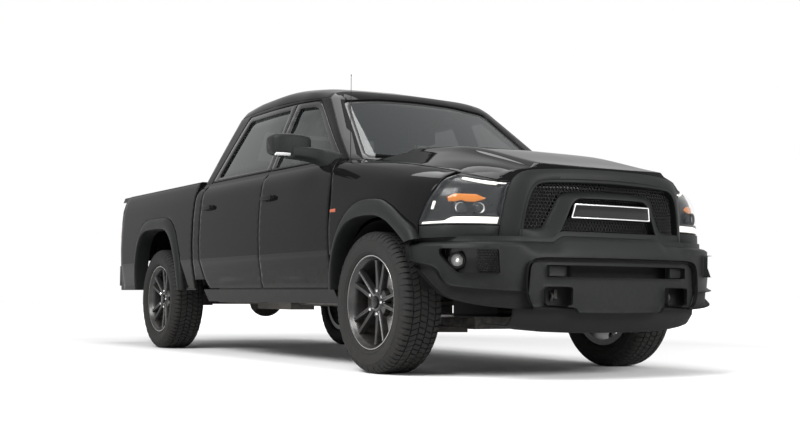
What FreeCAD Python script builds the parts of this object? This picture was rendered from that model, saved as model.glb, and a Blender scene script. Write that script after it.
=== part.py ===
import FreeCAD, Part
import math
import os

# Crew-cab pickup truck, millimetres. X points forward, Y to the truck's left, Z up.
# The origin lies on the ground, half way along the truck.

os.makedirs("parts", exist_ok=True)

point = FreeCAD.Vector
sides = {"right": -1, "left": 1}

# Main sizes
front_face_x = 2908.5
frame_rear_x = -2780.0
rear_bumper_depth = 128.5
rear_face_x = frame_rear_x - rear_bumper_depth
front_axle_x = 1892.0
rear_axle_x = -1677.0
tyre_radius = 407.5
tyre_width = 275.0
front_wheel_y = 866.0
rear_wheel_y = 857.0
hub_z = tyre_radius
panel_gap = 6.0
seat_gap = 0.3
hood_hinge_x = 1440.0
hood_hinge_z = 1268.0
hood_lug_y = 698.0
hood_pin_radius = 6.0


# Shape helpers

def box(x0, x1, y0, y1, z0, z1):
    return Part.makeBox(x1 - x0, y1 - y0, z1 - z0, point(x0, y0, z0))


def loop(points):
    corners = [point(*p) for p in points]
    return Part.makePolygon(corners + [corners[0]])


def side_prism(outline, y0, y1):
    face = Part.Face(loop([(x, y0, z) for x, z in outline]))
    return face.extrude(point(0, y1 - y0, 0))


def plan_prism(outline, z0, z1):
    face = Part.Face(loop([(x, y, z0) for x, y in outline]))
    return face.extrude(point(0, 0, z1 - z0))


def front_prism(outline, x0, x1):
    face = Part.Face(loop([(x0, y, z) for y, z in outline]))
    return face.extrude(point(x1 - x0, 0, 0))


def loft(sections):
    return Part.makeLoft([loop(section) for section in sections], True, True)


def turned(profile, x, y, z):
    # profile is a list of (radius, distance along Y)
    face = Part.Face(loop([(x + r, y + d, z) for r, d in profile]))
    return face.revolve(point(x, y, z), point(0, 1, 0), 360)


def rod_x(x0, x1, y, z, r):
    return Part.makeCylinder(r, x1 - x0, point(x0, y, z), point(1, 0, 0))


def rod_y(x, y0, y1, z, r):
    return Part.makeCylinder(r, y1 - y0, point(x, y0, z), point(0, 1, 0))


def rod_z(x, y, z0, z1, r):
    return Part.makeCylinder(r, z1 - z0, point(x, y, z0), point(0, 0, 1))


def rod(a, b, r):
    start = point(*a)
    along = point(*b) - start
    return Part.makeCylinder(r, along.Length, start, along)


def bent_rod(points, r):
    pieces = [rod(a, b, r) for a, b in zip(points, points[1:])]
    pieces += [Part.makeSphere(r, point(*p)) for p in points[1:-1]]
    return joined(pieces)


def mirrored(shape):
    return shape.mirror(point(0, 0, 0), point(0, 1, 0))


def on_side(shape, side):
    # shapes are drawn on the left, where Y is positive
    return shape if side > 0 else mirrored(shape)


def both(shape):
    return [shape, mirrored(shape)]


def joined(shapes):
    first = shapes[0]
    return first.multiFuse(shapes[1:]).removeSplitter() if len(shapes) > 1 else first


def without(shape, *tools):
    result = shape
    for tool in tools:
        result = result.cut(tool)
    return result


def meeting(shape, *tools):
    result = shape
    for tool in tools:
        result = result.common(tool)
    return result


def save(name, *shapes):
    solids = [solid for shape in shapes for solid in shape.Solids]
    whole = solids[0] if len(solids) == 1 else Part.makeCompound(solids)
    whole.exportStep("parts/" + name + ".step")
    print(name, len(solids), "solids, valid", whole.isValid(), round(whole.Volume / 1e6, 2), "litres")


# Wheels
# The rim's barrel, spokes and hub turn with the brake disc.

rim_lip_radius = 273.0
barrel_inner_radius = 235.0
spoke_pairs = 5
lug_count = 5
lug_circle = 69.85
hub_face_out = 24.0
disc_radius = 165.0
disc_inner_radius = 72.0
disc_in = -38.0
disc_thickness = 30.0

tyre_profile = [
    (258, -99.7), (273.3, -103.5), (273.3, -115), (290, -127), (330, -137.5), (362, -134), (392, -119),
    (407.5, -98), (407.5, 98), (392, 119), (362, 134), (330, 137.5), (290, 128), (273.3, 117),
    (273.3, 103.5), (258, 99.7),
]

barrel_profile = [
    (235, -113), (273, -113), (273, -104), (257.5, -100), (257.5, -60), (246, -50),
    (246, 50), (257.5, 62), (257.5, 100), (273, 104), (273, 115), (262, 115), (235, 70),
]


def tyre(x, y):
    return turned(tyre_profile, x, y, hub_z)


def spoke(x, y, angle, outward):
    # one arm from the hub to the barrel, thin towards the outer end
    inner = 60.0
    outer = 243.0
    half_inner = 15.0
    half_outer = 11.0
    face = y + outward * 78
    tip = y + outward * 98
    back = y + outward * 40
    rows = [(inner, half_inner, back, face), (outer, half_outer, y + outward * 58, tip)]
    sections = []
    for distance, half, deep, front in rows:
        corners = [(-half, deep), (half, deep), (half * 0.8, front), (-half * 0.8, front)]
        section = []
        for across, depth in corners:
            px = distance * math.cos(angle) - across * math.sin(angle)
            pz = distance * math.sin(angle) + across * math.cos(angle)
            section.append((x + px, depth, hub_z + pz))
        sections.append(section)
    return loft(sections)


def rim(x, y, outward):
    # outward is 1 for the left wheels and -1 for the right ones
    barrel = turned([(r, outward * d) for r, d in barrel_profile], x, y, hub_z)
    face = outward * 78
    back = outward * (hub_face_out + 2)
    hub = turned([(0, back), (94, back), (94, outward * 56), (86, outward * 66), (58, outward * 66),
                  (52, face), (0, face)], x, y, hub_z)
    cap = turned([(0, face), (34, face), (30, outward * 92), (0, outward * 94)], x, y, hub_z)
    arms = []
    for index in range(spoke_pairs):
        middle = math.pi + 2 * math.pi * index / spoke_pairs
        for offset in (-0.19, 0.19):
            arms.append(spoke(x, y, middle + offset, outward))
    nuts = []
    for index in range(lug_count):
        angle = math.pi + 2 * math.pi * index / lug_count
        nx = x + lug_circle * math.cos(angle)
        nz = hub_z + lug_circle * math.sin(angle)
        y0, y1 = sorted((y + outward * 40, y + outward * 88))
        nuts.append(rod_y(nx, y0, y1, nz, 10))
    disc_face = outward * disc_in
    disc_back = outward * (disc_in + disc_thickness)
    hat_end = outward * 4
    disc = turned([
        (disc_inner_radius, disc_face), (disc_radius, disc_face), (disc_radius, disc_back),
        (84, disc_back), (84, back), (0, back), (0, hat_end), (disc_inner_radius, hat_end),
    ], x, y, hub_z)
    return joined([barrel, hub, cap, disc] + arms + nuts)


axles = {"front": (front_axle_x, front_wheel_y), "rear": (rear_axle_x, rear_wheel_y)}

for axle, (axle_x, wheel_y) in axles.items():
    for side_name, side in sides.items():
        save("tyre_" + axle + "_" + side_name, tyre(axle_x, side * wheel_y))
        save("rim_" + axle + "_" + side_name, rim(axle_x, side * wheel_y, side))


# Steering knuckles with their hub bearings and brake calipers

kingpin_y = 780.0
steer_arm = 130.0
lower_ball_z = 270.0
upper_ball_z = 560.0
tie_rod_z = 334.0


def caliper(x, wheel_y):
    # a block over the rear of the disc, slotted for it
    ring_out = 208
    ring_in = 108
    outline = [(-ring_out, -75), (-ring_in, -60), (-ring_in, 60), (-ring_out, 75)]
    y0 = wheel_y + disc_in - 34
    y1 = wheel_y + 12
    block = side_prism([(x + dx, hub_z + dz) for dx, dz in outline], y0, y1)
    block = meeting(block, rod_y(x, y0 - 5, y1 + 5, hub_z, ring_out))
    slot = rod_y(x, wheel_y + disc_in - 7, wheel_y + disc_in + disc_thickness + 7, hub_z, disc_radius + 8)
    return without(block, slot)


def knuckle():
    x = front_axle_x
    spine = box(x - 42, x + 42, 790, 820, lower_ball_z, upper_ball_z)
    upper_ear = rod_z(x, kingpin_y, upper_ball_z - 22, upper_ball_z, 26)
    lower_ear = rod_z(x, kingpin_y, lower_ball_z, lower_ball_z + 24, 30)
    ring = rod_y(x, 790, 832, hub_z, 66)
    bearing = rod_y(x, 830, 861, hub_z, 58)
    stub = rod_y(x, 860, front_wheel_y + 4 - seat_gap, hub_z, 24)
    arm = box(x + 20, x + steer_arm, 762, 798, 351, 375)
    arm_end = rod_z(x + steer_arm, kingpin_y, 351, 375, 22)
    bracket = box(x - 130, x - 20, 792, 814, hub_z - 50, hub_z + 50)
    body = joined([spine, upper_ear, lower_ear, ring, bearing, stub, arm, arm_end, bracket])
    bore = joined([rod_y(x, 700, 826, hub_z, 52), Part.makeSphere(52, point(x, kingpin_y, hub_z))])
    body = without(body, bore)
    return joined([body, caliper(x, front_wheel_y)])


for side_name, side in sides.items():
    save("knuckle_" + side_name, on_side(knuckle(), side))

rack_x = front_axle_x + steer_arm
tie_rod = rod_y(rack_x, -kingpin_y, kingpin_y, tie_rod_z, 13)
tie_ends = [rod_z(rack_x, side * kingpin_y, tie_rod_z - 17, 350.7, 20) for side in (-1, 1)]
save("steering_rack", joined([tie_rod] + tie_ends))


# Ladder frame

rail_side = [
    (2700, 560), (2700, 690), (2350, 690), (2200, 730), (1600, 730), (1422, 640), (-960, 640),
    (-1240, 740), (-2120, 740), (-2300, 700), (frame_rear_x, 700), (frame_rear_x, 570), (-2300, 570),
    (-2120, 600), (-1240, 600), (-960, 470), (1380, 470), (1600, 580), (2200, 580), (2350, 560),
]
rail_plan = [
    (2700, 340), (1500, 340), (1200, 430), (frame_rear_x, 430), (frame_rear_x, 520), (1200, 520), (1500, 430),
    (2700, 430),
]
rail = meeting(side_prism(rail_side, 300, 560), plan_prism(rail_plan, 300, 900))
cross_spots = [
    (2560, 2640, 345, 585, 665), (1240, 1330, 470, 425, 495), (560, 640, 440, 425, 495),
    (-240, -160, 440, 570, 638), (-960, -880, 440, 570, 638), (-2250, -2170, 440, 620, 690),
    (frame_rear_x, frame_rear_x + 60, 440, 590, 680),
]
rails = both(rail)
members = []
for x0, x1, half, z0, z1 in cross_spots:
    members.append(without(box(x0, x1, -half, half, z0, z1), *rails))
for x0, x1 in ((1700, 1790), (2072, 2150)):
    cradle = joined([box(x0, x1, -430, 430, 255, 325)] + both(box(x0, x1, 345, 430, 320, 580)))
    members.append(cradle)
hooks = []
for hook_side in (-1, 1):
    hook_y = hook_side * 395
    hook = without(box(2640, 2850, hook_y - 10, hook_y + 10, 436, 484),
                   box(2770, 2830, hook_y - 30, hook_y + 30, 450, 470))
    hooks.append(joined([box(2640, 2700, hook_y - 20, hook_y + 20, 440, 560), hook]))
hitch_z = 484.0
hitch_half = 35.0
hitch_bracket = box(frame_rear_x + 5, frame_rear_x + 55, -60, 60, hitch_z + hitch_half + seat_gap, 589.7)
save("ladder_frame", *rails, *members, *hooks, hitch_bracket)


# Front suspension, drawn on the left: arms, spring leg, half-shaft

def arm_between(inner_half, inner_y, outer_half, outer_y, z_inner, z_outer, thick):
    x = front_axle_x
    outer = [
        (x - outer_half, outer_y, z_outer), (x + outer_half, outer_y, z_outer),
        (x + outer_half, outer_y, z_outer + thick), (x - outer_half, outer_y, z_outer + thick),
    ]
    inner = [
        (x - inner_half, inner_y, z_inner), (x + inner_half, inner_y, z_inner),
        (x + inner_half, inner_y, z_inner + thick), (x - inner_half, inner_y, z_inner + thick),
    ]
    return loft([inner, outer])


arm_top = lower_ball_z - seat_gap
lower_arm = without(arm_between(185, 430, 32, kingpin_y, arm_top - 34, arm_top - 34, 34),
                    plan_prism([(1800, 440), (1984, 440), (1930, 590), (1854, 590)], 200, 400))
lower_ball = rod_z(front_axle_x, kingpin_y, arm_top - 40, arm_top, 28)
arm_low = upper_ball_z + seat_gap
upper_ball = rod_z(front_axle_x, kingpin_y, arm_low, arm_low + 30, 24)
upper_arm = without(arm_between(150, 430, 26, kingpin_y, arm_low + 20, arm_low, 26),
                    plan_prism([(1800, 440), (1984, 440), (1950, 690), (1834, 690)], 500, 700))
spring_leg = joined([
    rod((front_axle_x, 620, 455), (front_axle_x, 545, 860), 30),
    rod((front_axle_x, 612, 500), (front_axle_x, 552, 820), 56),
])
prongs = [box(front_axle_x + s * 45 - 9, front_axle_x + s * 45 + 9, 600, 645, 262, 500) for s in (-1, 1)]
fork = joined(prongs + [box(front_axle_x - 54, front_axle_x + 54, 600, 645, 452, 500)])
tower = joined([
    box(front_axle_x - 90, front_axle_x + 90, 430, 620, 835, 865),
    box(front_axle_x - 90, front_axle_x - 70, 430, 520, 725, 850),
    box(front_axle_x + 70, front_axle_x + 90, 430, 520, 725, 850),
    box(front_axle_x - 90, front_axle_x + 90, 340, 432, 730, 865),
])
half_shaft = joined([
    rod_y(front_axle_x, 150, kingpin_y, hub_z, 17),
    Part.makeSphere(44, point(front_axle_x, kingpin_y, hub_z)),
    rod_y(front_axle_x, 150, 260, hub_z, 42),
])
front_drive = box(1700, 1980, -170, 150, 325.3, 480)
rack_tube = without(rod_y(rack_x, -330, 330, tie_rod_z, 34), rod_y(rack_x, -340, 340, tie_rod_z, 19))
rack_feet = [box(rack_x - 15, 2072, y - 20, y + 20, 300, 326) for y in (-250, 250)]
rack_feet = [without(foot, rod_y(rack_x, -340, 340, tie_rod_z, 20)) for foot in rack_feet]
suspension = [front_drive, joined([rack_tube] + rack_feet)]
for piece in (joined([lower_arm, lower_ball, fork, spring_leg, tower]), joined([upper_arm, upper_ball]), half_shaft):
    suspension += both(piece)
save("front_suspension", *joined(suspension).Solids)


# Rear axle with leaf springs, dampers and brake calipers

axle_tube = rod_y(rear_axle_x, -780, 780, hub_z, 42)
axle_bowl = meeting(Part.makeSphere(150, point(rear_axle_x, 0, hub_z)),
                    box(rear_axle_x - 150, rear_axle_x + 150, -110, 110, hub_z - 150, hub_z + 150))
pinion = rod_x(rear_axle_x + 100, rear_axle_x + 260, 0, hub_z, 55)
rear_pieces = [axle_tube, axle_bowl, pinion]
leaf_outline = [
    (-960, 545), (-1200, 480), (-1500, 452), (-1850, 452), (-2150, 480), (-2400, 545),
    (-2400, 570), (-2150, 515), (-1850, 505), (-1500, 505), (-1200, 515), (-960, 570),
]
for side in (-1, 1):
    mid = side * 565
    low = min(mid - 35, mid + 35)
    rear_pieces.append(side_prism(leaf_outline, low, low + 70))
    rear_pieces.append(box(rear_axle_x - 60, rear_axle_x + 60, low - 8, low + 78, 355, 530))
    for eye_x in (-960, -2400):
        inner = min(side * 520, side * 605)
        rear_pieces.append(box(eye_x - 25, eye_x + 25, inner, inner + 85, 540, 640))
    rear_pieces.append(rod((rear_axle_x - 40, side * 480, 400), (rear_axle_x - 190, side * 480, 578), 24))
    rear_pieces.append(rod_z(rear_axle_x - 190, side * 480, 570, 599.7, 12))
    hub_y = side * rear_wheel_y
    rear_pieces.append(rod_y(rear_axle_x, min(side * 770, hub_y + side * 3.7),
                             max(side * 770, hub_y + side * 3.7), hub_z, 24))
    rear_pieces.append(rod_y(rear_axle_x, min(side * 760, side * 812), max(side * 760, side * 812), hub_z, 62))
    block = on_side(caliper(rear_axle_x, rear_wheel_y), side)
    plate = box(rear_axle_x - 150, rear_axle_x, min(side * 780, side * 808), max(side * 780, side * 808),
                hub_z - 45, hub_z + 45)
    rear_pieces += [block, plate]
save("rear_axle", joined(rear_pieces))


# Engine block with gearbox and drive shafts

block = box(1480, 2120, -240, 240, 545, 1040)
engine_feet = both(box(1720, 1880, 235, 340, 640, 700))
gearbox = loft([
    [(1490, -190, 500), (1490, 190, 500), (1490, 190, 760), (1490, -190, 760)],
    [(900, -110, 500), (900, 110, 500), (900, 110, 690), (900, -110, 690)],
])
transfer = box(585, 905, -230, 110, 495.3, 650)
pinion_end_x = rear_axle_x + 260
rear_shaft = rod((600, 0, 560), (pinion_end_x - 10, 0, hub_z + 1), 32)
rear_shaft = without(rear_shaft, box(pinion_end_x - 60, pinion_end_x + seat_gap, -60, 60, hub_z - 60, hub_z + 60))
front_shaft = rod((880, -200, 600), (1694, -130, 458), 22)
save("powertrain", joined([block, gearbox, transfer, rear_shaft, front_shaft] + engine_feet))


# Exhaust, fuel tank and spare wheel

pipe_z = 393.0
pipe_radius = 28.0
exhaust_line = [(1750, -268.3, 600), (1450, -300, 430), (1330, -330, pipe_z), (-300, -330, pipe_z)]
tail_line = [
    (-890, -330, pipe_z), (-1010, -330, pipe_z), (-1160, -640, 410), (-1350, -660, 455),
    (-1560, -660, 494), (-1800, -660, 494), (-2080, -660, 450), (-2230, -760, 430), (-2320, -860, 425),
]
muffler = box(-900, -300, -425, -225, 335, 455)
hanger = box(-895, -885, -338, -322, 450, 569.7)
save("exhaust", joined([bent_rod(exhaust_line, pipe_radius), muffler, hanger, bent_rod(tail_line, pipe_radius)]))
save("fuel_tank", box(-700, 300, 130, 429.7, 370, 569.7))
spare_x = -2262.0
spare_z = 509.7
spare_profile = [(190, -100), (378, -110), (390, -85), (390, 85), (378, 110), (190, 100)]
spare = turned(spare_profile, 0, 0, 0)
spare.rotate(point(0, 0, 0), point(1, 0, 0), 90)
spare.translate(point(spare_x, 0, spare_z))
save("spare_wheel", joined([spare, rod_z(spare_x, 0, spare_z - 20, spare_z + 10, 192)]))


# Body sections
# Half width of the lower body side at each height

side_rows = [
    (395, 925), (480, 965), (552, 980), (705, 1003), (850, 1008), (1100, 992), (1190, 983),
    (1240, 962), (1290, 928),
]


def half_width(z):
    rows = side_rows
    for (z0, y0), (z1, y1) in zip(rows, rows[1:]):
        if z <= z1:
            return y0 + (y1 - y0) * (z - z0) / (z1 - z0)
    return rows[-1][1]


def lower_side(x0, x1, depth):
    # wall on the left from the outer skin to a plane inside it
    outer = [(y, z) for z, y in side_rows]
    inner = [(depth, 1290), (depth, 395)]
    return front_prism(outer + inner, x0, x1)


# Cabin above the belt: x, half width at belt, half width at the rail, rail height, crown height
house_rows = [
    (1560, 790, 560, 1735, 1745),
    (1050, 885, 622, 1772, 1800),
    (740, 912, 652, 1790, 1856),
    (400, 925, 695, 1808, 1928),
    (0, 928, 712, 1818, 1965),
    (-350, 928, 708, 1816, 1956),
    (-700, 925, 695, 1800, 1916),
    (-960, 922, 680, 1780, 1876),
]
belt_z = 1290.0


def house(inset, top_inset, floor_z):
    sections = []
    for x, belt_half, rail_half, rail_z, crown_z in house_rows:
        rise = crown_z - rail_z
        slope = (belt_half - rail_half) / (rail_z - belt_z)
        low_half = belt_half + slope * (belt_z - floor_z)
        right = [
            (low_half - inset, floor_z),
            (rail_half - inset, rail_z - top_inset * 0.4),
            (rail_half - 55 - inset * 0.6, rail_z + rise * 0.5 - top_inset),
            (rail_half - 260, rail_z + rise * 0.88 - top_inset),
            (0, crown_z - top_inset),
        ]
        left = [(-y, z) for y, z in reversed(right[:-1])]
        sections.append([(x, y, z) for y, z in right + left])
    return loft(sections)


# Slanted screens: a plan outline pushed up along a slope
screen_slope = 1.316
screen_foot_x = 1480.0
screen_bow = 118.0
screen_half = 830.0
back_slope = 0.3125
back_foot_x = -806.0


def screen_region(setback):
    low = 1200.0
    high = 2000.0
    foot = screen_foot_x - setback + screen_slope * (belt_z - low)
    edge = foot - screen_bow * 1.45
    half = screen_half * 1.2
    arc = Part.Arc(point(edge, -half, low), point(foot, 0, low), point(edge, half, low)).toShape()
    rest = Part.makePolygon([point(edge, half, low), point(-3000, half, low),
                             point(-3000, -half, low), point(edge, -half, low)])
    face = Part.Face(Part.Wire([arc] + rest.Edges))
    return face.extrude(point(-screen_slope * (high - low), 0, high - low))


def back_region(setback):
    low = 1200.0
    high = 2000.0
    foot = back_foot_x + setback - back_slope * (belt_z - low)
    face = Part.Face(loop([(foot, -1200, low), (3000, -1200, low), (3000, 1200, low), (foot, 1200, low)]))
    return face.extrude(point(back_slope * (high - low), 0, high - low))


frame_depth = 46.0
roof_depth = 34.0
house_outer = meeting(house(0, 0, belt_z), screen_region(0), back_region(0))
house_inner = meeting(house(frame_depth, roof_depth, belt_z - 40), screen_region(50), back_region(45))
house_shell = without(house_outer, house_inner)
house_sides = without(house_outer, house(frame_depth, roof_depth, belt_z - 40))


# Doors
# Each outline lies on the outer skin; the edges slant forward on the way in,
# so an opening door leaves its neighbour.

edge_slant = 0.42
door_depth = 128.0
skin_plane = 1060.0
door_low_z = 492.0


def skin_at(x, z):
    if z <= belt_z:
        return half_width(z)
    rows = house_rows
    for (x0, b0, r0, z0, c0), (x1, b1, r1, z1, c1) in zip(rows, rows[1:]):
        if x >= x1:
            part = (x0 - x) / (x0 - x1)
            belt_half = b0 + (b1 - b0) * part
            rail_half = r0 + (r1 - r0) * part
            rail_z = z0 + (z1 - z0) * part
            return belt_half + (rail_half - belt_half) * (z - belt_z) / (rail_z - belt_z)
    return rows[-1][1]


def with_heights(outline):
    # adds a point wherever an edge passes one of the body side's heights
    points = []
    for (x0, z0), (x1, z1) in zip(outline, outline[1:] + outline[:1]):
        points.append((x0, z0))
        heights = [z for z, y in side_rows if min(z0, z1) + 1 < z < max(z0, z1) - 1]
        if abs(z1 - z0) > 60:
            for z in sorted(heights, reverse=z0 > z1):
                points.append((x0 + (x1 - x0) * (z - z0) / (z1 - z0), z))
    return points


def slanted_prism(outline, depth):
    start = [(x - edge_slant * (skin_plane - skin_at(x, z)), skin_plane, z) for x, z in with_heights(outline)]
    face = Part.Face(loop(start))
    return face.extrude(point(edge_slant * depth, -depth, 0))


def grown(outline, gap):
    # moves a convex outline's edges outward
    centre_x = sum(x for x, z in outline) / len(outline)
    centre_z = sum(z for x, z in outline) / len(outline)
    count = len(outline)
    area = sum(outline[i][0] * outline[(i + 1) % count][1] - outline[(i + 1) % count][0] * outline[i][1]
               for i in range(count))
    turn = 1 if area > 0 else -1
    lines = []
    for i in range(count):
        (x0, z0), (x1, z1) = outline[i], outline[(i + 1) % count]
        length = math.hypot(x1 - x0, z1 - z0)
        nx = turn * (z1 - z0) / length
        nz = -turn * (x1 - x0) / length
        lines.append((nx, nz, nx * x0 + nz * z0 + gap))
    corners = []
    for i in range(count):
        a0, b0, c0 = lines[i - 1]
        a1, b1, c1 = lines[i]
        d = a0 * b1 - a1 * b0
        if abs(d) < 1e-6:
            corners.append((outline[i][0] + a1 * gap, outline[i][1] + b1 * gap))
        else:
            corners.append(((c0 * b1 - c1 * b0) / d, (a0 * c1 - a1 * c0) / d))
    return corners


front_door_low = [(1410, 640), (1396, door_low_z), (392, door_low_z), (386, 1000), (384, 1292), (1410, 1292)]
front_door_high = [(1300, 1288), (384, 1288), (374, 1550), (364, 1790), (655, 1778)]
front_window = [(1212, 1312), (440, 1312), (430, 1745), (655, 1735)]
rear_door_low = [(378, 1292), (380, 1000), (386, door_low_z), (-570, door_low_z), (-655, 575), (-712, 720),
                 (-715, 1200), (-706, 1292)]
rear_door_high = [(378, 1288), (358, 1790), (-425, 1792), (-520, 1600), (-668, 1288)]
rear_window = [(318, 1318), (304, 1752), (-378, 1752), (-440, 1610), (-572, 1330)]


handle_length = 190.0
handle_z = 1100.0


def door(low, high, window, x0, x1, handle_x):
    skin = meeting(lower_side(x0, x1, 1008 - door_depth), slanted_prism(low, 330))
    grip = loft([
        [(handle_x, half_width(handle_z) - 6, handle_z + z) for z in (-16, 16)]
        + [(handle_x + handle_length, half_width(handle_z) - 6, handle_z + z) for z in (16, -16)],
        [(handle_x + 12, 1026, handle_z + z) for z in (-11, 11)]
        + [(handle_x + handle_length - 12, 1026, handle_z + z) for z in (11, -11)],
    ])
    grip = without(grip, box(handle_x + 34, handle_x + handle_length - 34, half_width(handle_z), 1014,
                             handle_z - 30, handle_z + 30))
    skin = joined([skin, grip])
    frame_part = meeting(house_sides, slanted_prism(high, 600))
    frame_part = without(frame_part, side_prism(window, 300, 1100))
    return joined([skin, frame_part])


def window_glass(window):
    thick = without(house(18, 30, belt_z - 30), house(23, 34, belt_z - 40))
    return meeting(thick, side_prism(grown(window, -0.4), 300, 1100))


front_door = door(front_door_low, front_door_high, front_window, 300, 1410, 425)
rear_door = door(rear_door_low, rear_door_high, rear_window, -800, 500, -650)
rear_door_front = [(386, 480), (386, door_low_z), (380, 1000), (378, 1292), (358, 1790), (358, 1900),
                   (-1200, 1900), (-1200, 480)]
rear_door = meeting(rear_door, side_prism(rear_door_front, 300, 1100))
front_glass = window_glass(front_window)
rear_glass = window_glass(rear_window)

mirror_x = 1180.0


def mirror_unit():
    arm = loft([
        [(mirror_x - 30, 800, 1298), (mirror_x + 30, 800, 1298), (mirror_x + 30, 800, 1345),
         (mirror_x - 30, 800, 1345)],
        [(mirror_x - 20, 1030, 1318), (mirror_x + 20, 1030, 1318), (mirror_x + 20, 1030, 1350),
         (mirror_x - 20, 1030, 1350)],
    ])
    housing = loft([
        [(mirror_x - 60, 1015, 1312), (mirror_x + 40, 1015, 1312), (mirror_x + 40, 1015, 1400),
         (mirror_x - 60, 1015, 1415)],
        [(mirror_x - 75, 1120, 1305), (mirror_x + 65, 1120, 1305), (mirror_x + 60, 1120, 1440),
         (mirror_x - 75, 1120, 1450)],
        [(mirror_x - 85, 1285, 1325), (mirror_x + 20, 1285, 1325), (mirror_x + 15, 1285, 1430),
         (mirror_x - 85, 1285, 1440)],
    ])
    return without(joined([arm, housing]), house(-seat_gap, 0, belt_z - 40))


for side_name, side in sides.items():
    save("front_door_" + side_name, on_side(front_door, side))
    save("front_door_glass_" + side_name, on_side(front_glass, side))
    save("mirror_" + side_name, on_side(mirror_unit(), side))
    save("rear_door_" + side_name, on_side(rear_door, side))
    save("rear_door_glass_" + side_name, on_side(rear_glass, side))


# Cabin shell

cab_rear_x = -850.0
pillar_depth = 60.0
door_holes = []
for low, high in ((front_door_low, front_door_high), (rear_door_low, rear_door_high)):
    door_holes.append(slanted_prism(grown(low, panel_gap), 1060 - 1008 + door_depth + panel_gap))

floor_pan = joined([
    box(-800, 1416, -789, 789, 655, 680),
    box(-150, 1416, -260, 260, 655, 800),
    box(1386, 1416, -789, 789, 655, 1250),
] + [rod_z(x, side * 475, 640.3, 656, 38) for x in (1150, 250, -740) for side in (-1, 1)])
floor_pan = without(floor_pan, box(-149, 1417, -235, 235, 600, 775))
sills = both(front_prism([(925, 395), (965, 480), (965, 485), (868, 485), (868, 655), (780, 655),
                          (780, 680), (760, 680), (760, 395)], -700, 1416))
save("cab_floor", joined([floor_pan] + sills))

high_holes = [slanted_prism(grown(high, panel_gap), 600) for high in (front_door_high, rear_door_high)]
screen_outline = [(-742, 1312), (742, 1312), (578, 1768), (300, 1800), (0, 1808), (-300, 1800), (-578, 1768)]
screen_hole = front_prism(screen_outline, 640, 1600)
back_hole = front_prism([(-560, 1400), (560, 1400), (500, 1730), (-500, 1730)], -1000, -550)
upper_cab = without(house_shell, screen_hole, back_hole)
for hole in high_holes:
    upper_cab = without(upper_cab, hole, mirrored(hole))
b_post = [(330, 500), (455, 500), (430, 1290), (310, 1290)]
posts = []
post_low = side_prism([(310, 655.3), (440, 655.3), (430, 1290), (320, 1290)], 800, 868)
post_high = meeting(without(house(frame_depth + panel_gap, 40, belt_z), house(frame_depth + 50, 90, belt_z - 10)),
                    side_prism([(445, 1290), (330, 1290), (318, 1800), (420, 1800)], 300, 1100))
corner = front_prism([(y, z) for z, y in side_rows] + [(868, 1290), (868, 395)], -850, -560)
corner = without(corner, slanted_prism(grown(rear_door_low, panel_gap), 330))
corner = without(corner, box(-900, -500, 700, 1100, 300, 560))
cowl_side = box(1330, 1416, 790, 872, 655.3, 1290)
for side in (-1, 1):
    for piece in (post_low, post_high, corner, cowl_side):
        posts.append(on_side(piece, side))
back_wall = box(-850, -800, -867.7, 867.7, 646, 1290)
save("cab_shell", joined([upper_cab] + posts), back_wall)


def screen_sheet(setback, thick):
    return without(screen_region(setback), screen_region(setback + thick))


windscreen = meeting(screen_sheet(14, 7), front_prism(grown(screen_outline, -0.5), 640, 1600))
back_sheet = without(back_region(14), back_region(20))
rear_screen = meeting(back_sheet, front_prism([(-559.5, 1400.5), (559.5, 1400.5), (499.5, 1729.5),
                                               (-499.5, 1729.5)], -1000, -550))
save("screens", windscreen, rear_screen)


# Front end: hood, fenders, grille surround, lamps, bumper
# Fender rows: x, then half width at the side's heights, then the top edge and the hood line

clip_rows = [
    (2700, [(846, 480), (866, 705), (858, 850), (838, 960), (806, 1012), (745, 1042), (665, 1066)]),
    (2450, [(935, 480), (967, 705), (964, 850), (946, 1000), (922, 1058), (880, 1098), (800, 1132)]),
    (2168, [(958, 480), (996, 705), (998, 850), (984, 1010), (958, 1098), (905, 1150), (842, 1184)]),
    (1800, [(964, 480), (1003, 705), (1007, 850), (994, 1030), (974, 1140), (922, 1208), (846, 1238)]),
    (1416, [(965, 480), (1003, 705), (1008, 850), (994, 1060), (983, 1190), (928, 1262), (838, 1288)]),
]
hood_rows = [
    (2860, 1142, [(0, 1146), (430, 1143), (462, 1122), (560, 1098), (640, 1064)]),
    (2700, 1180, [(0, 1182), (436, 1179), (478, 1154), (580, 1122), (659, 1068)]),
    (2450, 1220, [(0, 1224), (440, 1220), (500, 1190), (640, 1176), (794, 1134)]),
    (2168, 1255, [(0, 1259), (440, 1254), (515, 1226), (690, 1214), (836, 1186)]),
    (1800, 1290, [(0, 1292), (440, 1287), (520, 1262), (700, 1252), (840, 1240)]),
    (1420, 1312, [(0, 1316), (440, 1311), (520, 1292), (700, 1288), (832, 1282)]),
]
flare_out = 1030.0
flare_shoulder = 1010.0
outer_slope = 34.0
inner_slope = 9.0
flare_front_in = [
    (1467, 480), (1472, 560), (1502, 690), (1570, 800), (1670, 872), (1790, 900), (1892, 905),
    (1994, 900), (2110, 870), (2220, 810), (2330, 735),
]
flare_front_out = [
    (1422, 480), (1424, 540), (1462, 700), (1545, 850), (1660, 950), (1780, 995), (1892, 1002),
    (2010, 995), (2130, 955), (2260, 880), (2380, 800), (2410, 752),
]
flare_rear_in = [
    (-2165, 480), (-2170, 640), (-2110, 850), (-2010, 950), (-1880, 980), (-1677, 985), (-1500, 980),
    (-1370, 930), (-1270, 820), (-1190, 640), (-1150, 480),
]
flare_rear_out = [
    (-2215, 480), (-2218, 640), (-2160, 880), (-2060, 1010), (-1900, 1070), (-1677, 1077),
    (-1470, 1070), (-1310, 1010), (-1200, 880), (-1120, 640), (-1095, 480),
]
front_bow_radius = 1527.0
front_nose_x = 2840.0


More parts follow.
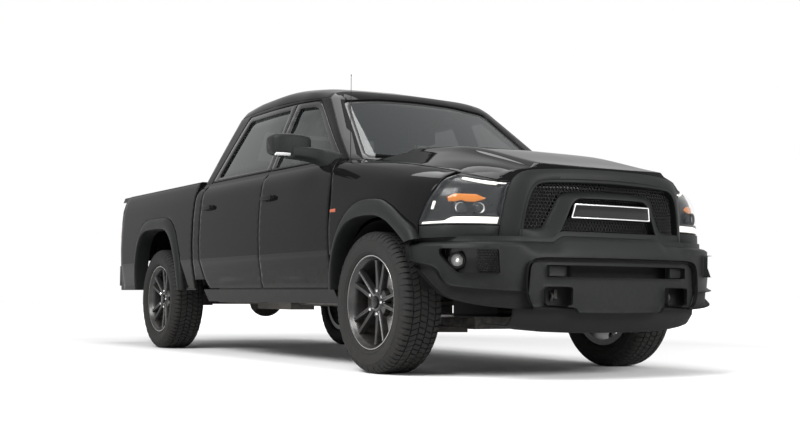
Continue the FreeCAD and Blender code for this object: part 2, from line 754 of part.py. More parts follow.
def clip_side(inset):
    sections = []
    for x, points in clip_rows:
        row = [(x, y - inset, z - inset * 0.5) for y, z in points]
        last = row[-1]
        inner = [(x, 560 - inset, last[2]), (x, 560 - inset, 480 - inset)]
        sections.append(row + inner)
    return loft(sections)


def nose_region(setback):
    return rod_z(front_nose_x - front_bow_radius, 0, 200, 1400, front_bow_radius - setback)


clip_solid = clip_side(0)
hood_line = plan_prism([(2800, 600), (2700, 665), (2450, 800), (2168, 842), (1800, 846), (1416, 838), (1300, 838),
                        (1300, 0), (2800, 0)], 300, 1400)
arch_front = grown([(1422, 300)] + flare_front_out + [(2480, 745), (2480, 300)], seat_gap)
fender = without(meeting(clip_solid, box(1416, 2498, 0, 1100, 486, 1300)), clip_side(42), hood_line)
fender = without(fender, side_prism(arch_front, 500, 1100), box(2330, 2700, 500, 1100, 300, 748))
fender = meeting(fender, joined([box(1416, 2498, 655, 1100, 300, 1300)]))
lamp_cut = [(2394, 748), (2394, 850), (2500, 1046), (2500, 1200), (2800, 1200), (2800, 748)]
fender = without(fender, side_prism(lamp_cut, 500, 1100))

hood_depth = 40.0
hood_sections = []
for x, middle, points in hood_rows:
    right = [(x, y, z) for y, z in points]
    left = [(x, -y, z) for y, z in reversed(points[1:])]
    low_right = [(x, y - (14 if y > 500 else 0), z - hood_depth) for y, z in reversed(points)]
    low_left = [(x, -y + (14 if y > 500 else 0), z - hood_depth) for y, z in points[1:]]
    hood_sections.append(left[::1] + right + low_right + low_left)


def plan_arc_region(middle_x, side_x, half, far_x, z0, z1):
    # everything between a curved line across the truck and a straight one
    arc = Part.Arc(point(side_x, -half, z0), point(middle_x, 0, z0), point(side_x, half, z0)).toShape()
    rest = Part.makePolygon([point(side_x, half, z0), point(far_x, half, z0), point(far_x, -half, z0),
                             point(side_x, -half, z0)])
    return Part.Face(Part.Wire([arc] + rest.Edges)).extrude(point(0, 0, z1 - z0))


hood_rear_region = plan_arc_region(1562, 1446, 840, 3200, 1000, 1500)
hood_panel = meeting(loft(hood_sections), nose_region(0), hood_rear_region)
hood_lugs = []
for side in (-1, 1):
    y0, y1 = sorted((side * (hood_lug_y - 8), side * (hood_lug_y + 8)))
    lug = box(hood_hinge_x - 10, 1500, y0, y1, hood_hinge_z - 10, hood_hinge_z + 10)
    pin_space = rod_y(hood_hinge_x, y0 - 5, y1 + 5, hood_hinge_z, hood_pin_radius + seat_gap)
    hood_lugs.append(without(lug, pin_space))
hood_panel = joined([hood_panel] + hood_lugs)
save("hood_panel", hood_panel)

# Grille bands: rows from the foot up to the middle, each with the far and the near edge of the band
surround_rows = [
    ((2690, 655, 742), (2772, 567, 742)), ((2697, 651, 800), (2778, 560, 800)),
    ((2708, 640, 874), (2789, 545, 900)), ((2722, 620, 985), (2797, 525, 975)),
    ((2734, 597, 1060), (2801, 505, 1018)), ((2750, 560, 1102), (2805, 478, 1044)),
    ((2775, 500, 1122), (2812, 440, 1056)), ((2808, 380, 1131), (2826, 340, 1062)),
    ((2832, 200, 1137), (2842, 190, 1066)), ((2842, 0, 1139), (2850, 0, 1068)),
]
bar_rows = [
    ((2774, 574, 805), (2768, 582, 743)), ((2777, 500, 806), (2790, 480, 738)),
    ((2776, 440, 815), (2808, 425, 738)), ((2774, 409, 840), (2817, 392, 748)),
    ((2780, 385, 880), (2824, 350, 800)), ((2788, 355, 935), (2832, 312, 880)),
    ((2794, 332, 985), (2839, 280, 950)), ((2799, 300, 1008), (2843, 250, 978)),
    ((2812, 240, 1016), (2850, 215, 986)), ((2826, 120, 1019), (2858, 110, 989)),
    ((2830, 0, 1020), (2861, 0, 990)),
]
surround_profile = [(1, 0, 0, 36), (1, 0, 0, 0), (0.5, 0, 8, 0), (0, 0, 0, 0), (0, 0, 0, 58)]
bar_profile = [(1, 0, 0, 26), (1, 0, 0, 0), (0, 0, 0, 0), (0, -9, -1, 0), (0, -9, -1, 50)]


def nose_band(rows, profile):
    # a band over the nose; each profile point is a share across it, an extra reach, a rise and a setback
    whole = rows + [((a[0], -a[1], a[2]), (b[0], -b[1], b[2])) for a, b in reversed(rows[:-1])]
    sections = []
    for far, near in whole:
        across = point(*far) - point(*near)
        width = across.Length
        across.normalize()
        rise = point(1, 0, 0) - across * across.x
        rise.normalize()
        section = []
        for share, extra, lift, back in profile:
            spot = point(*near) + across * (share * width + extra) + rise * lift - point(back, 0, 0)
            section.append((spot.x, spot.y, spot.z))
        sections.append(section)
    return loft(sections)


surround = nose_band(surround_rows, surround_profile)
inner_bar = nose_band(bar_rows, bar_profile)
mesh_line = [(2722, 576), (2755, 505), (2766, 440), (2780, 340), (2796, 190), (2804, 0)]
mesh_line += [(x, -y) for x, y in reversed(mesh_line[:-1])]
mesh_depth = 6.0
mesh_half = [(0, 1076), (190, 1074), (340, 1070), (446, 1064), (486, 1050), (514, 1022), (536, 975),
             (556, 900), (570, 780)]
mesh_edge = mesh_half + [(-y, z) for y, z in reversed(mesh_half[1:])]
mesh_sheet = meeting(plan_prism(mesh_line + [(x - mesh_depth, y) for x, y in reversed(mesh_line)], 700, 1100),
                     front_prism(mesh_edge, 2600, 2900))
plate_line = [(2853, -285), (2863, -140), (2866, 0), (2863, 140), (2853, 285), (2780, 285), (2780, -285)]
badge_plate = meeting(plan_prism(plate_line, 800, 1000),
                      front_prism([(-281, 872), (-265, 946), (265, 946), (281, 872)], 2700, 2900))
grille_whole = without(joined([surround, inner_bar, mesh_sheet, badge_plate]), hood_panel)
save("grille", grille_whole)

lamp_region = side_prism([(2396, 752), (2396, 850), (2502, 1044), (2502, 1200), (2800, 1200), (2800, 752)],
                         500, 1100)
lamp_whole = without(meeting(clip_solid, lamp_region), hood_line, side_prism(arch_front, 500, 1100))
lamp_whole = without(lamp_whole, front_prism([(0, 700), (664, 700), (660, 800), (648, 900), (630, 1000),
                                              (606, 1072), (568, 1112), (0, 1300)], 2300, 2900),
                     plan_prism([(2400, 0), (2400, 560), (2560, 560), (2560, 0)], 700, 1200))
lamp_inner = meeting(clip_side(20), lamp_region)
lamp_body = meeting(lamp_whole, clip_side(22))
lens = without(lamp_whole, clip_side(21.7))
lens = meeting(lens, box(2300, 2800, 500, 1100, 800, 1200))
filler = without(lamp_whole, clip_side(21.7))
filler = meeting(filler, box(2300, 2800, 500, 1100, 752, 799.7))
headlamp = meeting(lamp_body, box(2300, 2700, 560, 1100, 752, 1200))
save("lamp_lenses", *both(lens))
mast = joined([rod_z(1500, -905, 1250, 1280, 16), rod_z(1500, -905, 1270, 1800, 3)])
mast = without(mast, mirrored(clip_side(-seat_gap)))
save("front_fenders", *both(fender), *both(filler), mast)

bumper_half = [(-571.5, 1004), (-428.5, 985), (-277.5, 930), (-168.5, 850), (-78.5, 700), (-42.5, 580),
               (-15.5, 420), (0, 200)]
bumper_plan = [(front_face_x + x, y) for x, y in bumper_half]
bumper_plan += [(front_face_x + x, -y) for x, y in reversed(bumper_half)]


def bumper_block(setback, z0, z1):
    outer = [(x - setback, y * (1 - setback / 1000.0)) for x, y in bumper_plan]
    return plan_prism(outer, z0, z1)


bumper_side = [
    (2337, 736), (2338, 728), (2403, 634), (2494, 526), (2586, 452), (2653, 428), (2780, 396), (2868, 380),
    (2868, 333), (2935, 333), (2935, 736),
]
centre_rise = 9.0
fog_y = 870.0
fog_z = 630.0
fog_radius = 42.0
shelf_side = [(2898, 662), (2886, 700), (2862, 736.5), (3000, 736.5), (3000, 662)]
bumper = without(bumper_block(centre_rise, 333, 736), bumper_block(70, 300, 800))
bumper = meeting(bumper, side_prism(bumper_side, -1100, 1100))
bumper = without(bumper, side_prism(shelf_side, -900, 900))
centre_half = [(0, 655), (500, 653), (552, 648), (581, 632), (596, 600), (604, 520), (596, 440), (571, 391),
               (310, 391), (296, 362), (0, 358)]
centre_edge = centre_half + [(-y, z) for y, z in reversed(centre_half[1:-1])]
centre = meeting(without(bumper_block(0, 333, 736), bumper_block(40, 300, 800)), front_prism(centre_edge, 2600, 3000))
tongue = meeting(front_prism([(-385, 728), (-330, 772), (330, 772), (385, 728)], 2790, 2900),
                 side_prism([(2792, 728), (2867, 728), (2838, 772), (2792, 772)], -400, 400))
bumper = joined([bumper, centre, tongue])
bumper = without(bumper, box(2600, 3000, -478, 478, 550, 612))
blocks = []
for side in (-1, 1):
    y0, y1 = sorted((side * 348, side * 478))
    blocks.append(meeting(box(2700, 2905, y0, y1, 545, 617), bumper_block(4, 500, 700)))
    y0, y1 = sorted((side * 335, side * 500))
    bumper = without(bumper, box(2600, 3000, y0, y1, 400, 500))
    recess = [(side * 948, 700), (side * 951, 668), (side * 904, 572), (side * 722, 568), (side * 716, 694)]
    bumper = without(bumper, front_prism(recess, 2500, 2900))
    floor_plate = meeting(without(bumper_block(58, 560, 705), bumper_block(66, 500, 800)),
                          front_prism([(side * y, z) for y, z in ((970, 704), (970, 560), (700, 560), (700, 704))],
                                      2400, 2900))
    lamp_line = [(x, side * fog_y, fog_z) for x in (2560, 2760)]
    blocks.append(without(floor_plate, rod(lamp_line[0], lamp_line[1], fog_radius + seat_gap)))
bumper = joined([bumper] + blocks)
bumper_arms = [box(2700.3, 2845, y0, y0 + 76, 580, 680) for y0 in (-423, 347)]
bumper_arms = [without(arm, box(2600, 3000, -340, 340, 540, 620)) for arm in bumper_arms]
fog_lamps = []
for side in (-1, 1):
    fog_lamps.append(rod((2610, side * fog_y, fog_z), (2672, side * fog_y, fog_z), fog_radius))
valance = side_prism([(2250, 330), (2560, 255), (2770, 250), (2890, 332.7), (2560, 332.7)], -640, 640)
valance = meeting(valance, bumper_block(24, 200, 400))
save("front_bumper", joined([bumper] + bumper_arms), valance)

cowl = joined([box(1388, 1560, -789.7, 789.7, 1250, 1283), box(1416.3, 1560, -826, 826, 1250, 1283)])
cowl = meeting(cowl, plan_arc_region(1554, 1438, 840, 1000, 1200, 1300))
cowl = without(cowl, *both(box(1410, 1470, 735, 840, 1266, 1300)))
for side in (-1, 1):
    y0, y1 = sorted((side * (hood_lug_y - 16), side * (hood_lug_y + 16)))
    cowl = without(cowl, box(1420, 1500, y0, y1, 1200, 1300))
    cowl = joined([cowl, rod_y(hood_hinge_x, y0 - 10, y1 + 10, hood_hinge_z, hood_pin_radius)])
wipers = []
for foot_y, tip_y in ((-60, -640), (480, -40)):
    foot_x = 1505 - 0.00022 * foot_y * foot_y
    tip_x = 1447 - 0.00017 * tip_y * tip_y
    post = rod_z(foot_x, foot_y, 1283, 1312, 14)
    wipers.append(joined([post, rod((foot_x, foot_y, 1306), (tip_x, tip_y, 1330), 7)]))
save("cowl", cowl, *wipers)


# Load bed

bed_front_x = -872.0
bed_rear_x = -2738.0
rail_top_z = 1318.0
bed_floor_z = 800.0
gate_outer_x = -2755.0
gate_inner_x = -2685.0
gate_hinge_x = -2725.0
gate_hinge_z = 760.0
bed_wall_depth = 94.5
post_width = 81.5
gate_pin_radius = 9.0
floor_end_x = -2672.0

bed_side_rows = [(480, 965), (552, 980), (705, 1003), (850, 1008), (1100, 992), (1190, 983), (1240, 968),
                 (rail_top_z, 938)]
bed_inner_half = bed_side_rows[-1][1] - bed_wall_depth
gate_half = bed_inner_half - post_width
bed_wall = front_prism([(y, z) for z, y in bed_side_rows] + [(bed_inner_half, rail_top_z), (bed_inner_half, 480)],
                       bed_rear_x, bed_front_x)
bed_wall = without(bed_wall, box(bed_rear_x - 10, bed_front_x + 10, bed_inner_half - 3, 955, 400, 780))
arch_rear = grown([(-2215, 300)] + flare_rear_out + [(-1095, 300)], seat_gap)
wheelhouse_side = [(-2140, 790), (-2100, 1000), (-1980, 1060), (-1400, 1060), (-1260, 1000), (-1210, 790)]
bed_wall = without(bed_wall, side_prism(arch_rear, 840, 1100))
corner_cut = plan_prism([(bed_rear_x - 10, 1100), (bed_rear_x - 10, 955), (bed_rear_x, 955),
                         (-2600, 1009), (-2600, 1100)], 400, 1400)
lamp_inner_half = bed_inner_half + 18.5
tail_lamp_hole = box(-2760, -2640, lamp_inner_half, 1100, 940, 1275)
rear_post = box(bed_rear_x, floor_end_x - seat_gap, gate_half + panel_gap, bed_inner_half, 700, rail_top_z)
pin_hole = rod_y(gate_hinge_x, gate_half, gate_half + 40, gate_hinge_z, gate_pin_radius + seat_gap)
bed_wall = without(joined([bed_wall, rear_post]), corner_cut, tail_lamp_hole, pin_hole)
save("bed_sides", *both(bed_wall))

tub_half = bed_inner_half - 0.5
tub = [box(floor_end_x, bed_front_x, -tub_half, tub_half, bed_floor_z - 24, bed_floor_z),
       box(bed_front_x - 36, bed_front_x, -tub_half, tub_half, bed_floor_z - 24, rail_top_z - 10)]
for x0 in (-1000, -1400, -1950, -2350, -2620):
    tub.append(box(x0 - 35, x0 + 35, -640, 640, 740, bed_floor_z - 20))
house_wall = without(side_prism(wheelhouse_side, 647.5, tub_half),
                     side_prism([(-2110, 700), (-2080, 990), (-1970, 1035), (-1410, 1035), (-1285, 990),
                                 (-1235, 700)], 667, 900))
for piece in both(house_wall):
    tub.append(piece)
floor_hole = side_prism([(-2110, 700), (-2110, 900), (-1235, 900), (-1235, 700)], 667, 850)
bed_tub = without(joined(tub), floor_hole, mirrored(floor_hole))
save("bed_tub", bed_tub)

tail_lamp = meeting(front_prism([(y, z) for z, y in bed_side_rows]
                                + [(lamp_inner_half, rail_top_z), (lamp_inner_half, 480)], -2738.3, -2641),
                    box(-2760, -2640, lamp_inner_half + seat_gap, 1100, 940.3, 1274.7))
tail_lamp = without(tail_lamp, corner_cut)
save("lamps", *both(headlamp), *fog_lamps, *both(tail_lamp))

gate_pin = rod_y(gate_hinge_x, -gate_half - 30, gate_half + 30, gate_hinge_z, gate_pin_radius)
gate_panel = without(box(gate_outer_x, gate_inner_x, -gate_half, gate_half, 750, 1306),
                     box(gate_outer_x - 5, gate_outer_x + 26, -115, 115, 1160, 1240),
                     box(gate_outer_x - 5, gate_outer_x + 6, -gate_half + 110, gate_half - 110, 830, 1090))
gate_handle = box(gate_outer_x + 5, gate_outer_x + 30, -85, 85, 1186, 1216)
tailgate = joined([gate_panel, gate_pin, gate_handle])
save("tailgate", tailgate)

rear_half = [(rear_face_x, 560), (rear_face_x + 28.5, 860), (rear_face_x + 98.5, 950), (rear_face_x + 162.5, 962),
             (rear_face_x + 162.5, 880), (frame_rear_x - seat_gap, 700)]
rear_bumper = plan_prism(rear_half + [(x, -y) for x, y in reversed(rear_half)], 520, 700)
rear_bumper = without(rear_bumper, box(rear_face_x - 5, rear_face_x + 30, -170, 170, 540, 680))
for side in (-1, 1):
    y0, y1 = sorted((side * 650, side * 830))
    rear_bumper = without(rear_bumper, box(rear_face_x - 5, rear_face_x + 80, y0, y1, 545, 610))
    rear_bumper = without(rear_bumper, box(rear_face_x + 24, rear_face_x + 110, y0, y1, 694, 705))
save("rear_bumper", rear_bumper)
hitch_x = frame_rear_x - 110
hitch = without(box(hitch_x, hitch_x + 225, -hitch_half, hitch_half, hitch_z - hitch_half, hitch_z + hitch_half),
                box(hitch_x - 10, hitch_x + 215, -25.5, 25.5, hitch_z - 25.5, hitch_z + 25.5))
pin_bore = rod_y(hitch_x + 50, -50, 50, hitch_z, 8.1)
save("hitch_receiver", without(hitch, pin_bore))


# Wheel arch flares

def flare(inner, outer, hub_x):
    # flat outer face with sloped edges down to the body and the wheel opening
    outline = outer + list(reversed(inner))
    crest = []
    for index, (x, z) in enumerate(outline):
        pull = -outer_slope if index < len(outer) else inner_slope
        pull = pull * min(1.0, (z - 470.0) / 400.0)
        reach = math.hypot(x - hub_x, z - hub_z)
        crest.append((x + (x - hub_x) * pull / reach, z + (z - hub_z) * pull / reach))
    cap = loft([[(x, flare_shoulder, z) for x, z in outline], [(x, flare_out, z) for x, z in crest]])
    return joined([side_prism(outline, 900, flare_shoulder), cap])


flares = []
for piece in (flare(flare_front_in, flare_front_out, front_axle_x), flare(flare_rear_in, flare_rear_out, rear_axle_x)):
    flares += both(piece)
liner = without(rod_y(front_axle_x, 640, 899.7, hub_z, 475.7), rod_y(front_axle_x, 630, 960, hub_z, 470))
liner = meeting(liner, box(1400, 2300, 600, 960, 486, 900))
save("wheel_arches", *flares, *both(liner))


# Cabin inside

seat_side = {
    "cushion": [(320, 801), (830, 830), (850, 880), (800, 985), (420, 950), (330, 960)],
    "back": [(330, 960), (455, 960), (330, 1560), (215, 1560), (200, 1400)],
    "rest": [(290, 1580), (245, 1580), (225, 1720), (290, 1735)],
}
seats = []
for side in (-1, 1):
    mid = side * 385
    low = mid - 255
    base = box(350, 780, mid - 115, mid + 115, 680.3, 810)
    cushion = side_prism(seat_side["cushion"], low, low + 510)
    back = side_prism(seat_side["back"], low + 10, low + 500)
    rest = side_prism(seat_side["rest"], mid - 120, mid + 120)
    stalks = [rod((262, mid + s * 60, 1540), (262, mid + s * 60, 1600), 7) for s in (-1, 1)]
    seats.append(joined([base, cushion, back, rest] + stalks))

bench = joined([
    box(-640, -260, -640, 640, 680.3, 800),
    side_prism([(-680, 790), (-200, 790), (-190, 960), (-620, 930), (-680, 960)], -700, 700),
    side_prism([(-680, 930), (-570, 930), (-600, 1500), (-680, 1500)], -700, 700),
])
save("seats", *seats, bench)

dash = side_prism([(1385.7, 960), (1385.7, 1245), (1180, 1240), (1060, 1190), (1020, 1080), (1080, 960)], -780, 780)
console = box(420, 1060, -105, 105, 800.3, 990)
column = rod((1100, 385, 1094), (920, 385, 1180), 32)


def steering_wheel(x, y, z):
    # drawn flat round the Z axis, then tipped toward the seat
    ring = Part.makeTorus(185, 15)
    arms = []
    for turn in (0, 90, 180):
        arm = Part.makeBox(150, 34, 12, point(32, -17, -6))
        arm.rotate(point(0, 0, 0), point(0, 0, 1), turn + 90)
        arms.append(arm)
    hub = Part.makeCylinder(52, 40, point(0, 0, -30))
    whole = ring.multiFuse(arms + [hub])
    whole.rotate(point(0, 0, 0), point(0, 1, 0), -64)
    whole.translate(point(x, y, z))
    return whole


save("dashboard", dash, console, joined([column, steering_wheel(900, 385, 1190)]))

apron_strip = [
    (1416.3, 1222), (1800, 1180), (2168, 1126), (2480, 1068), (2480, 1062), (2168, 1120), (1800, 1174),
    (1416.3, 1216),
]
apron_panel = [(1416.3, 1216), (1800, 1174), (2168, 1120), (2480, 1062), (2480, 720), (1416.3, 720)]
under_fender = clip_side(42 + seat_gap)
turning_room = 492.0
radiator = box(2440, 2520, -339.7, 339.7, 600, 1040)
top_bar = box(2430, 2530, -629.7, 629.7, 1045, 1075)
low_bar = without(box(2430, 2530, -640, 640, 565, 599.7), *rails)
front_end = [radiator, top_bar, low_bar]
for side in (-1, 1):
    strip = meeting(side_prism(apron_strip, 630, 862), under_fender)
    panel = without(side_prism(apron_panel, 630, 639.7), rod_y(front_axle_x, 620, 650, hub_z, turning_room))
    front_end += [on_side(strip, side), on_side(panel, side)]
    for riser_x in (1450, 1700, 1950, 2200, 2420):
        riser = meeting(box(riser_x, riser_x + 30, 850, 862, 1000, 1300), under_fender)
        above = side_prism([(1400, 900), (1400, 1223.8), (1416.3, 1222), (1800, 1180), (2168, 1126),
                            (2480, 1068), (2480, 900)], 800, 900)
        front_end.append(on_side(without(riser, above), side))
save("front_structure", *front_end)
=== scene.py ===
import math

import bmesh
import bpy
import numpy as np
from mathutils import Matrix, Vector
from mathutils.geometry import delaunay_2d_cdt


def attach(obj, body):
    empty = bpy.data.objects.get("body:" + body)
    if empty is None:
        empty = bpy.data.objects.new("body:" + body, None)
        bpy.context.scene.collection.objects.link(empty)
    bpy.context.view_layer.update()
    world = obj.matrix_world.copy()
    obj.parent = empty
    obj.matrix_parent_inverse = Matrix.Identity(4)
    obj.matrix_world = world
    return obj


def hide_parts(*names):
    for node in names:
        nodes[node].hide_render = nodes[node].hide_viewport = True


# Crew-cab pickup truck. Sizes are in millimetres, X forward, Y left, Z up.

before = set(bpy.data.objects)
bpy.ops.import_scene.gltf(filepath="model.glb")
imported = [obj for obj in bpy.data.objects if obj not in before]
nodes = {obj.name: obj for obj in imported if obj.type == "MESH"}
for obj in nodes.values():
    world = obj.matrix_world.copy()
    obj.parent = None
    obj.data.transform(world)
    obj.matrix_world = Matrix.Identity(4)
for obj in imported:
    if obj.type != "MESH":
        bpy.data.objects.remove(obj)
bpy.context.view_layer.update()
mm = 0.001
sides = {"right": -1, "left": 1}


# Shader wiring

class Wire:  # one shader socket that can stand in a sum
    def __init__(self, tree, socket):
        self.tree, self.socket = tree, socket

    def node(self, kind, inputs, output=0, **settings):
        made = self.tree.nodes.new(kind)
        for key, value in settings.items():
            setattr(made, key, value)
        for key, value in inputs.items():
            if isinstance(value, Wire):
                self.tree.links.new(value.socket, made.inputs[key])
            else:
                made.inputs[key].default_value = value
        return Wire(self.tree, made.outputs[output])

    def sum(self, kind, first, second, clamp=False):
        return self.node("ShaderNodeMath", {0: first, 1: second}, operation=kind, use_clamp=clamp)

    def __add__(self, other): return self.sum("ADD", self, other)
    def __radd__(self, other): return self.sum("ADD", other, self)
    def __sub__(self, other): return self.sum("SUBTRACT", self, other)
    def __rsub__(self, other): return self.sum("SUBTRACT", other, self)
    def __mul__(self, other): return self.sum("MULTIPLY", self, other)

    def clamped(self): return self.sum("ADD", self, 0.0, True)

    def mix(self, share, first, second):
        return self.node("ShaderNodeMix", {0: share, 6: first, 7: second}, 2, data_type="RGBA")

    def noise(self, scale, detail=3.0, roughness=0.5):
        return self.node("ShaderNodeTexNoise", {"Vector": self, "Scale": scale, "Detail": detail,
                                                "Roughness": roughness})


def rgb(level, tint=(1, 1, 1)):
    return (level * tint[0], level * tint[1], level * tint[2], 1.0)


def newFinish(name):
    material = bpy.data.materials.new(name)
    material.use_nodes = True
    tree = material.node_tree
    shader = tree.nodes["Principled BSDF"]
    place = tree.nodes.new("ShaderNodeTexCoord")
    return material, shader, Wire(tree, place.outputs["Object"])


def link(shader, socket, wire):
    wire.tree.links.new(wire.socket, shader.inputs[socket])


def setValues(shader, values):
    for socket, value in values.items():
        shader.inputs[socket].default_value = value


def surface(name, dark, light, rough, metal=0.0, grain=60.0, grainDepth=0.0, roughSpread=0.1, coat=0.0,
            coatRough=0.05, patch=5.0, dust=0.0, dustColour=(0.30, 0.26, 0.20, 1), specular=0.5, coatBend=1.5):
    # a finish with mottled colour, uneven roughness, fine relief and road dust low down
    material, shader, place = newFinish(name)
    mottle = place.noise(patch, 4.0, 0.6)
    colour = place.mix(mottle, dark, light)
    rougher = rough - roughSpread * 0.5 + mottle * roughSpread
    if dust > 0:
        height = place.node("ShaderNodeSeparateXYZ", {0: place}, 2)
        speckle = place.noise(35.0, 5.0, 0.7)
        amount = ((0.75 - height) * 1.3).clamped() * ((speckle - 0.42) * 4.0).clamped() * dust
        colour = place.mix(amount, colour, dustColour)
        rougher = rougher + amount * 0.4
    link(shader, "Base Color", colour)
    link(shader, "Roughness", rougher.clamped())
    setValues(shader, {"Metallic": metal, "Coat Weight": coat, "Coat Roughness": coatRough, "Coat IOR": coatBend,
                       "Specular IOR Level": specular})
    if grainDepth > 0:
        bump = place.node("ShaderNodeBump", {"Height": place.noise(grain, 6.0, 0.65), "Strength": 1.0,
                                             "Distance": grainDepth})
        link(shader, "Normal", bump)
    return material


def clearFinish(name, colour, alpha, rough, emission=0.0, spread=0.02, specular=0.3):
    # glass, lenses and lights
    material, shader, place = newFinish(name)
    haze = place.noise(3.0, 4.0, 0.6)
    link(shader, "Base Color", place.mix(haze, colour, tuple(c * 0.8 for c in colour[:3]) + (1,)))
    link(shader, "Roughness", rough + haze * spread)
    setValues(shader, {"Alpha": alpha, "Coat Weight": 0.35, "Coat Roughness": 0.01, "Coat IOR": 1.3,
                       "Specular IOR Level": specular, "Emission Color": colour, "Emission Strength": emission})
    return material


roadDirt = (0.10, 0.085, 0.065, 1)
finishes = {
    "paint": surface("glossPaint", rgb(0.0030), rgb(0.0055, (1, 1, 1.1)), 0.22, grain=900.0, grainDepth=0.00002,
                     roughSpread=0.05, coat=0.5, coatRough=0.02, patch=2.0, dust=0.08, specular=0.0, coatBend=1.27),
    "trim": surface("grainedTrim", rgb(0.0050, (0.9, 1, 1)), rgb(0.0085, (0.93, 1, 1)), 0.5, grain=700.0,
                    grainDepth=0.0005, roughSpread=0.14, dust=0.12, dustColour=(0.07, 0.065, 0.055, 1), specular=0.14),
    "rough": surface("roughTrim", rgb(0.0055), rgb(0.0085), 0.66, grain=420.0, grainDepth=0.0007, roughSpread=0.12,
                     specular=0.12, patch=9.0),
    "pale": surface("paleLens", rgb(0.42), rgb(0.52), 0.18, grain=500.0, grainDepth=0.00003, roughSpread=0.05,
                    coat=0.5),
    "gloss": surface("glossTrim", rgb(0.004), rgb(0.007), 0.25, grain=600.0, grainDepth=0.00003, roughSpread=0.08,
                     coat=0.4, specular=0.12, coatBend=1.3),
    "rubber": surface("tyreRubber", rgb(0.010), rgb(0.017, (1, 0.98, 0.95)), 0.74, grain=300.0, grainDepth=0.0004,
                      roughSpread=0.12, dust=0.28, dustColour=(0.055, 0.049, 0.042, 1), patch=14.0, specular=0.18),
    "rim": surface("rimCoating", rgb(0.010), rgb(0.016), 0.36, metal=0.35, grain=900.0, grainDepth=0.00006, coat=0.25,
                   coatRough=0.2, dust=0.3, dustColour=(0.10, 0.085, 0.07, 1)),
    "bright": surface("brightMetal", rgb(0.62), rgb(0.78), 0.16, metal=1.0, grain=500.0, grainDepth=0.00003,
                      roughSpread=0.08),
    "steel": surface("plainSteel", rgb(0.28), rgb(0.42, (1, 0.97, 0.93)), 0.42, metal=0.9, grain=220.0,
                     grainDepth=0.0002, roughSpread=0.2, dust=0.4),
    "disc": surface("brakeDisc", rgb(0.32), rgb(0.42, (1, 0.96, 0.92)), 0.34, metal=0.95, grain=380.0,
                    grainDepth=0.0002, roughSpread=0.18),
    "cast": surface("castIron", rgb(0.020, (1, 0.95, 0.9)), rgb(0.038, (1, 0.92, 0.85)), 0.7, metal=0.4, grain=160.0,
                    grainDepth=0.0008, roughSpread=0.2, dust=0.35, dustColour=roadDirt, specular=0.3),
    "chassis": surface("chassisPaint", rgb(0.012), rgb(0.020), 0.5, metal=0.1, grain=260.0, grainDepth=0.0004,
                       roughSpread=0.2, dust=0.25, specular=0.3),
    "alloy": surface("castAlloy", rgb(0.10), rgb(0.15), 0.55, metal=0.8, grain=180.0, grainDepth=0.0005,
                     roughSpread=0.2, dust=0.4, dustColour=roadDirt),
    "exhaust": surface("exhaustSteel", rgb(0.12, (1, 0.93, 0.84)), rgb(0.19, (1, 0.95, 0.9)), 0.42, metal=0.9,
                       grain=240.0, grainDepth=0.0002, roughSpread=0.2, dust=0.4, dustColour=roadDirt),
    "tank": surface("tankPlastic", rgb(0.018), rgb(0.028), 0.6, grain=300.0, grainDepth=0.0004, roughSpread=0.15,
                    dust=0.5),
    "interior": surface("cabinPlastic", rgb(0.022), rgb(0.032), 0.62, grain=800.0, grainDepth=0.0004),
    "cloth": surface("seatCloth", rgb(0.022), rgb(0.038, (1, 1, 1.04)), 0.92, grain=1400.0, grainDepth=0.0008,
                     roughSpread=0.06, patch=30.0, specular=0.2),
    "glass": clearFinish("tintedGlass", (0.004, 0.006, 0.006, 1), 0.86, 0.02),
    "screen": clearFinish("windscreenGlass", (0.005, 0.008, 0.009, 1), 0.72, 0.02),
    "lens": clearFinish("clearLens", (0.30, 0.32, 0.34, 1), 0.06, 0.02, specular=0.2),
    "redLens": clearFinish("redLens", (0.35, 0.008, 0.008, 1), 0.94, 0.06),
    "amber": clearFinish("amberLens", (0.42, 0.13, 0.012, 1), 0.95, 0.08),
    "amberDark": clearFinish("sideMarker", (0.30, 0.05, 0.012, 1), 1.0, 0.12),
    "led": clearFinish("ledBar", (0.90, 0.88, 0.80, 1), 1.0, 0.25, emission=0.35),
}


# Mesh making

def newObject(name, data):
    made = bpy.data.objects.new(name, data)
    bpy.context.scene.collection.objects.link(made)
    return made


def newPiece(name, points, faces, finish, smooth=True):
    mesh = bpy.data.meshes.new(name)
    mesh.from_pydata([tuple(c * mm for c in p) for p in points], [], faces)
    mesh.validate()
    if smooth:
        mesh.polygons.foreach_set("use_smooth", [True] * len(mesh.polygons))
    mesh.materials.append(finishes[finish])
    return newObject(name, mesh)


def applied(piece):
    # turns the piece's modifiers into plain mesh
    graph = bpy.context.evaluated_depsgraph_get()
    mesh = bpy.data.meshes.new_from_object(piece.evaluated_get(graph))
    piece.modifiers.clear()
    piece.data = mesh
    return piece


def softened(piece, width, segments=2, angle=35.0):
    # rounds the sharp edges and keeps flat faces flat
    bevel = piece.modifiers.new("edges", "BEVEL")
    bevel.width, bevel.segments, bevel.limit_method = width * mm, segments, "ANGLE"
    bevel.angle_limit = math.radians(angle)
    bevel.harden_normals = True
    applied(piece)
    return piece


def smoothedBy(piece, angle=40.0):
    # smooth shading that stops at sharp corners
    piece.data.set_sharp_from_angle(angle=math.radians(angle))
    return piece


def joinMeshes(name, pieces):
    # one object from several, keeping each one's finish
    kept = pieces[0]
    with bpy.context.temp_override(active_object=kept, selected_editable_objects=pieces, object=kept):
        bpy.ops.object.join()
    kept.name = name
    kept.data.name = name
    return kept


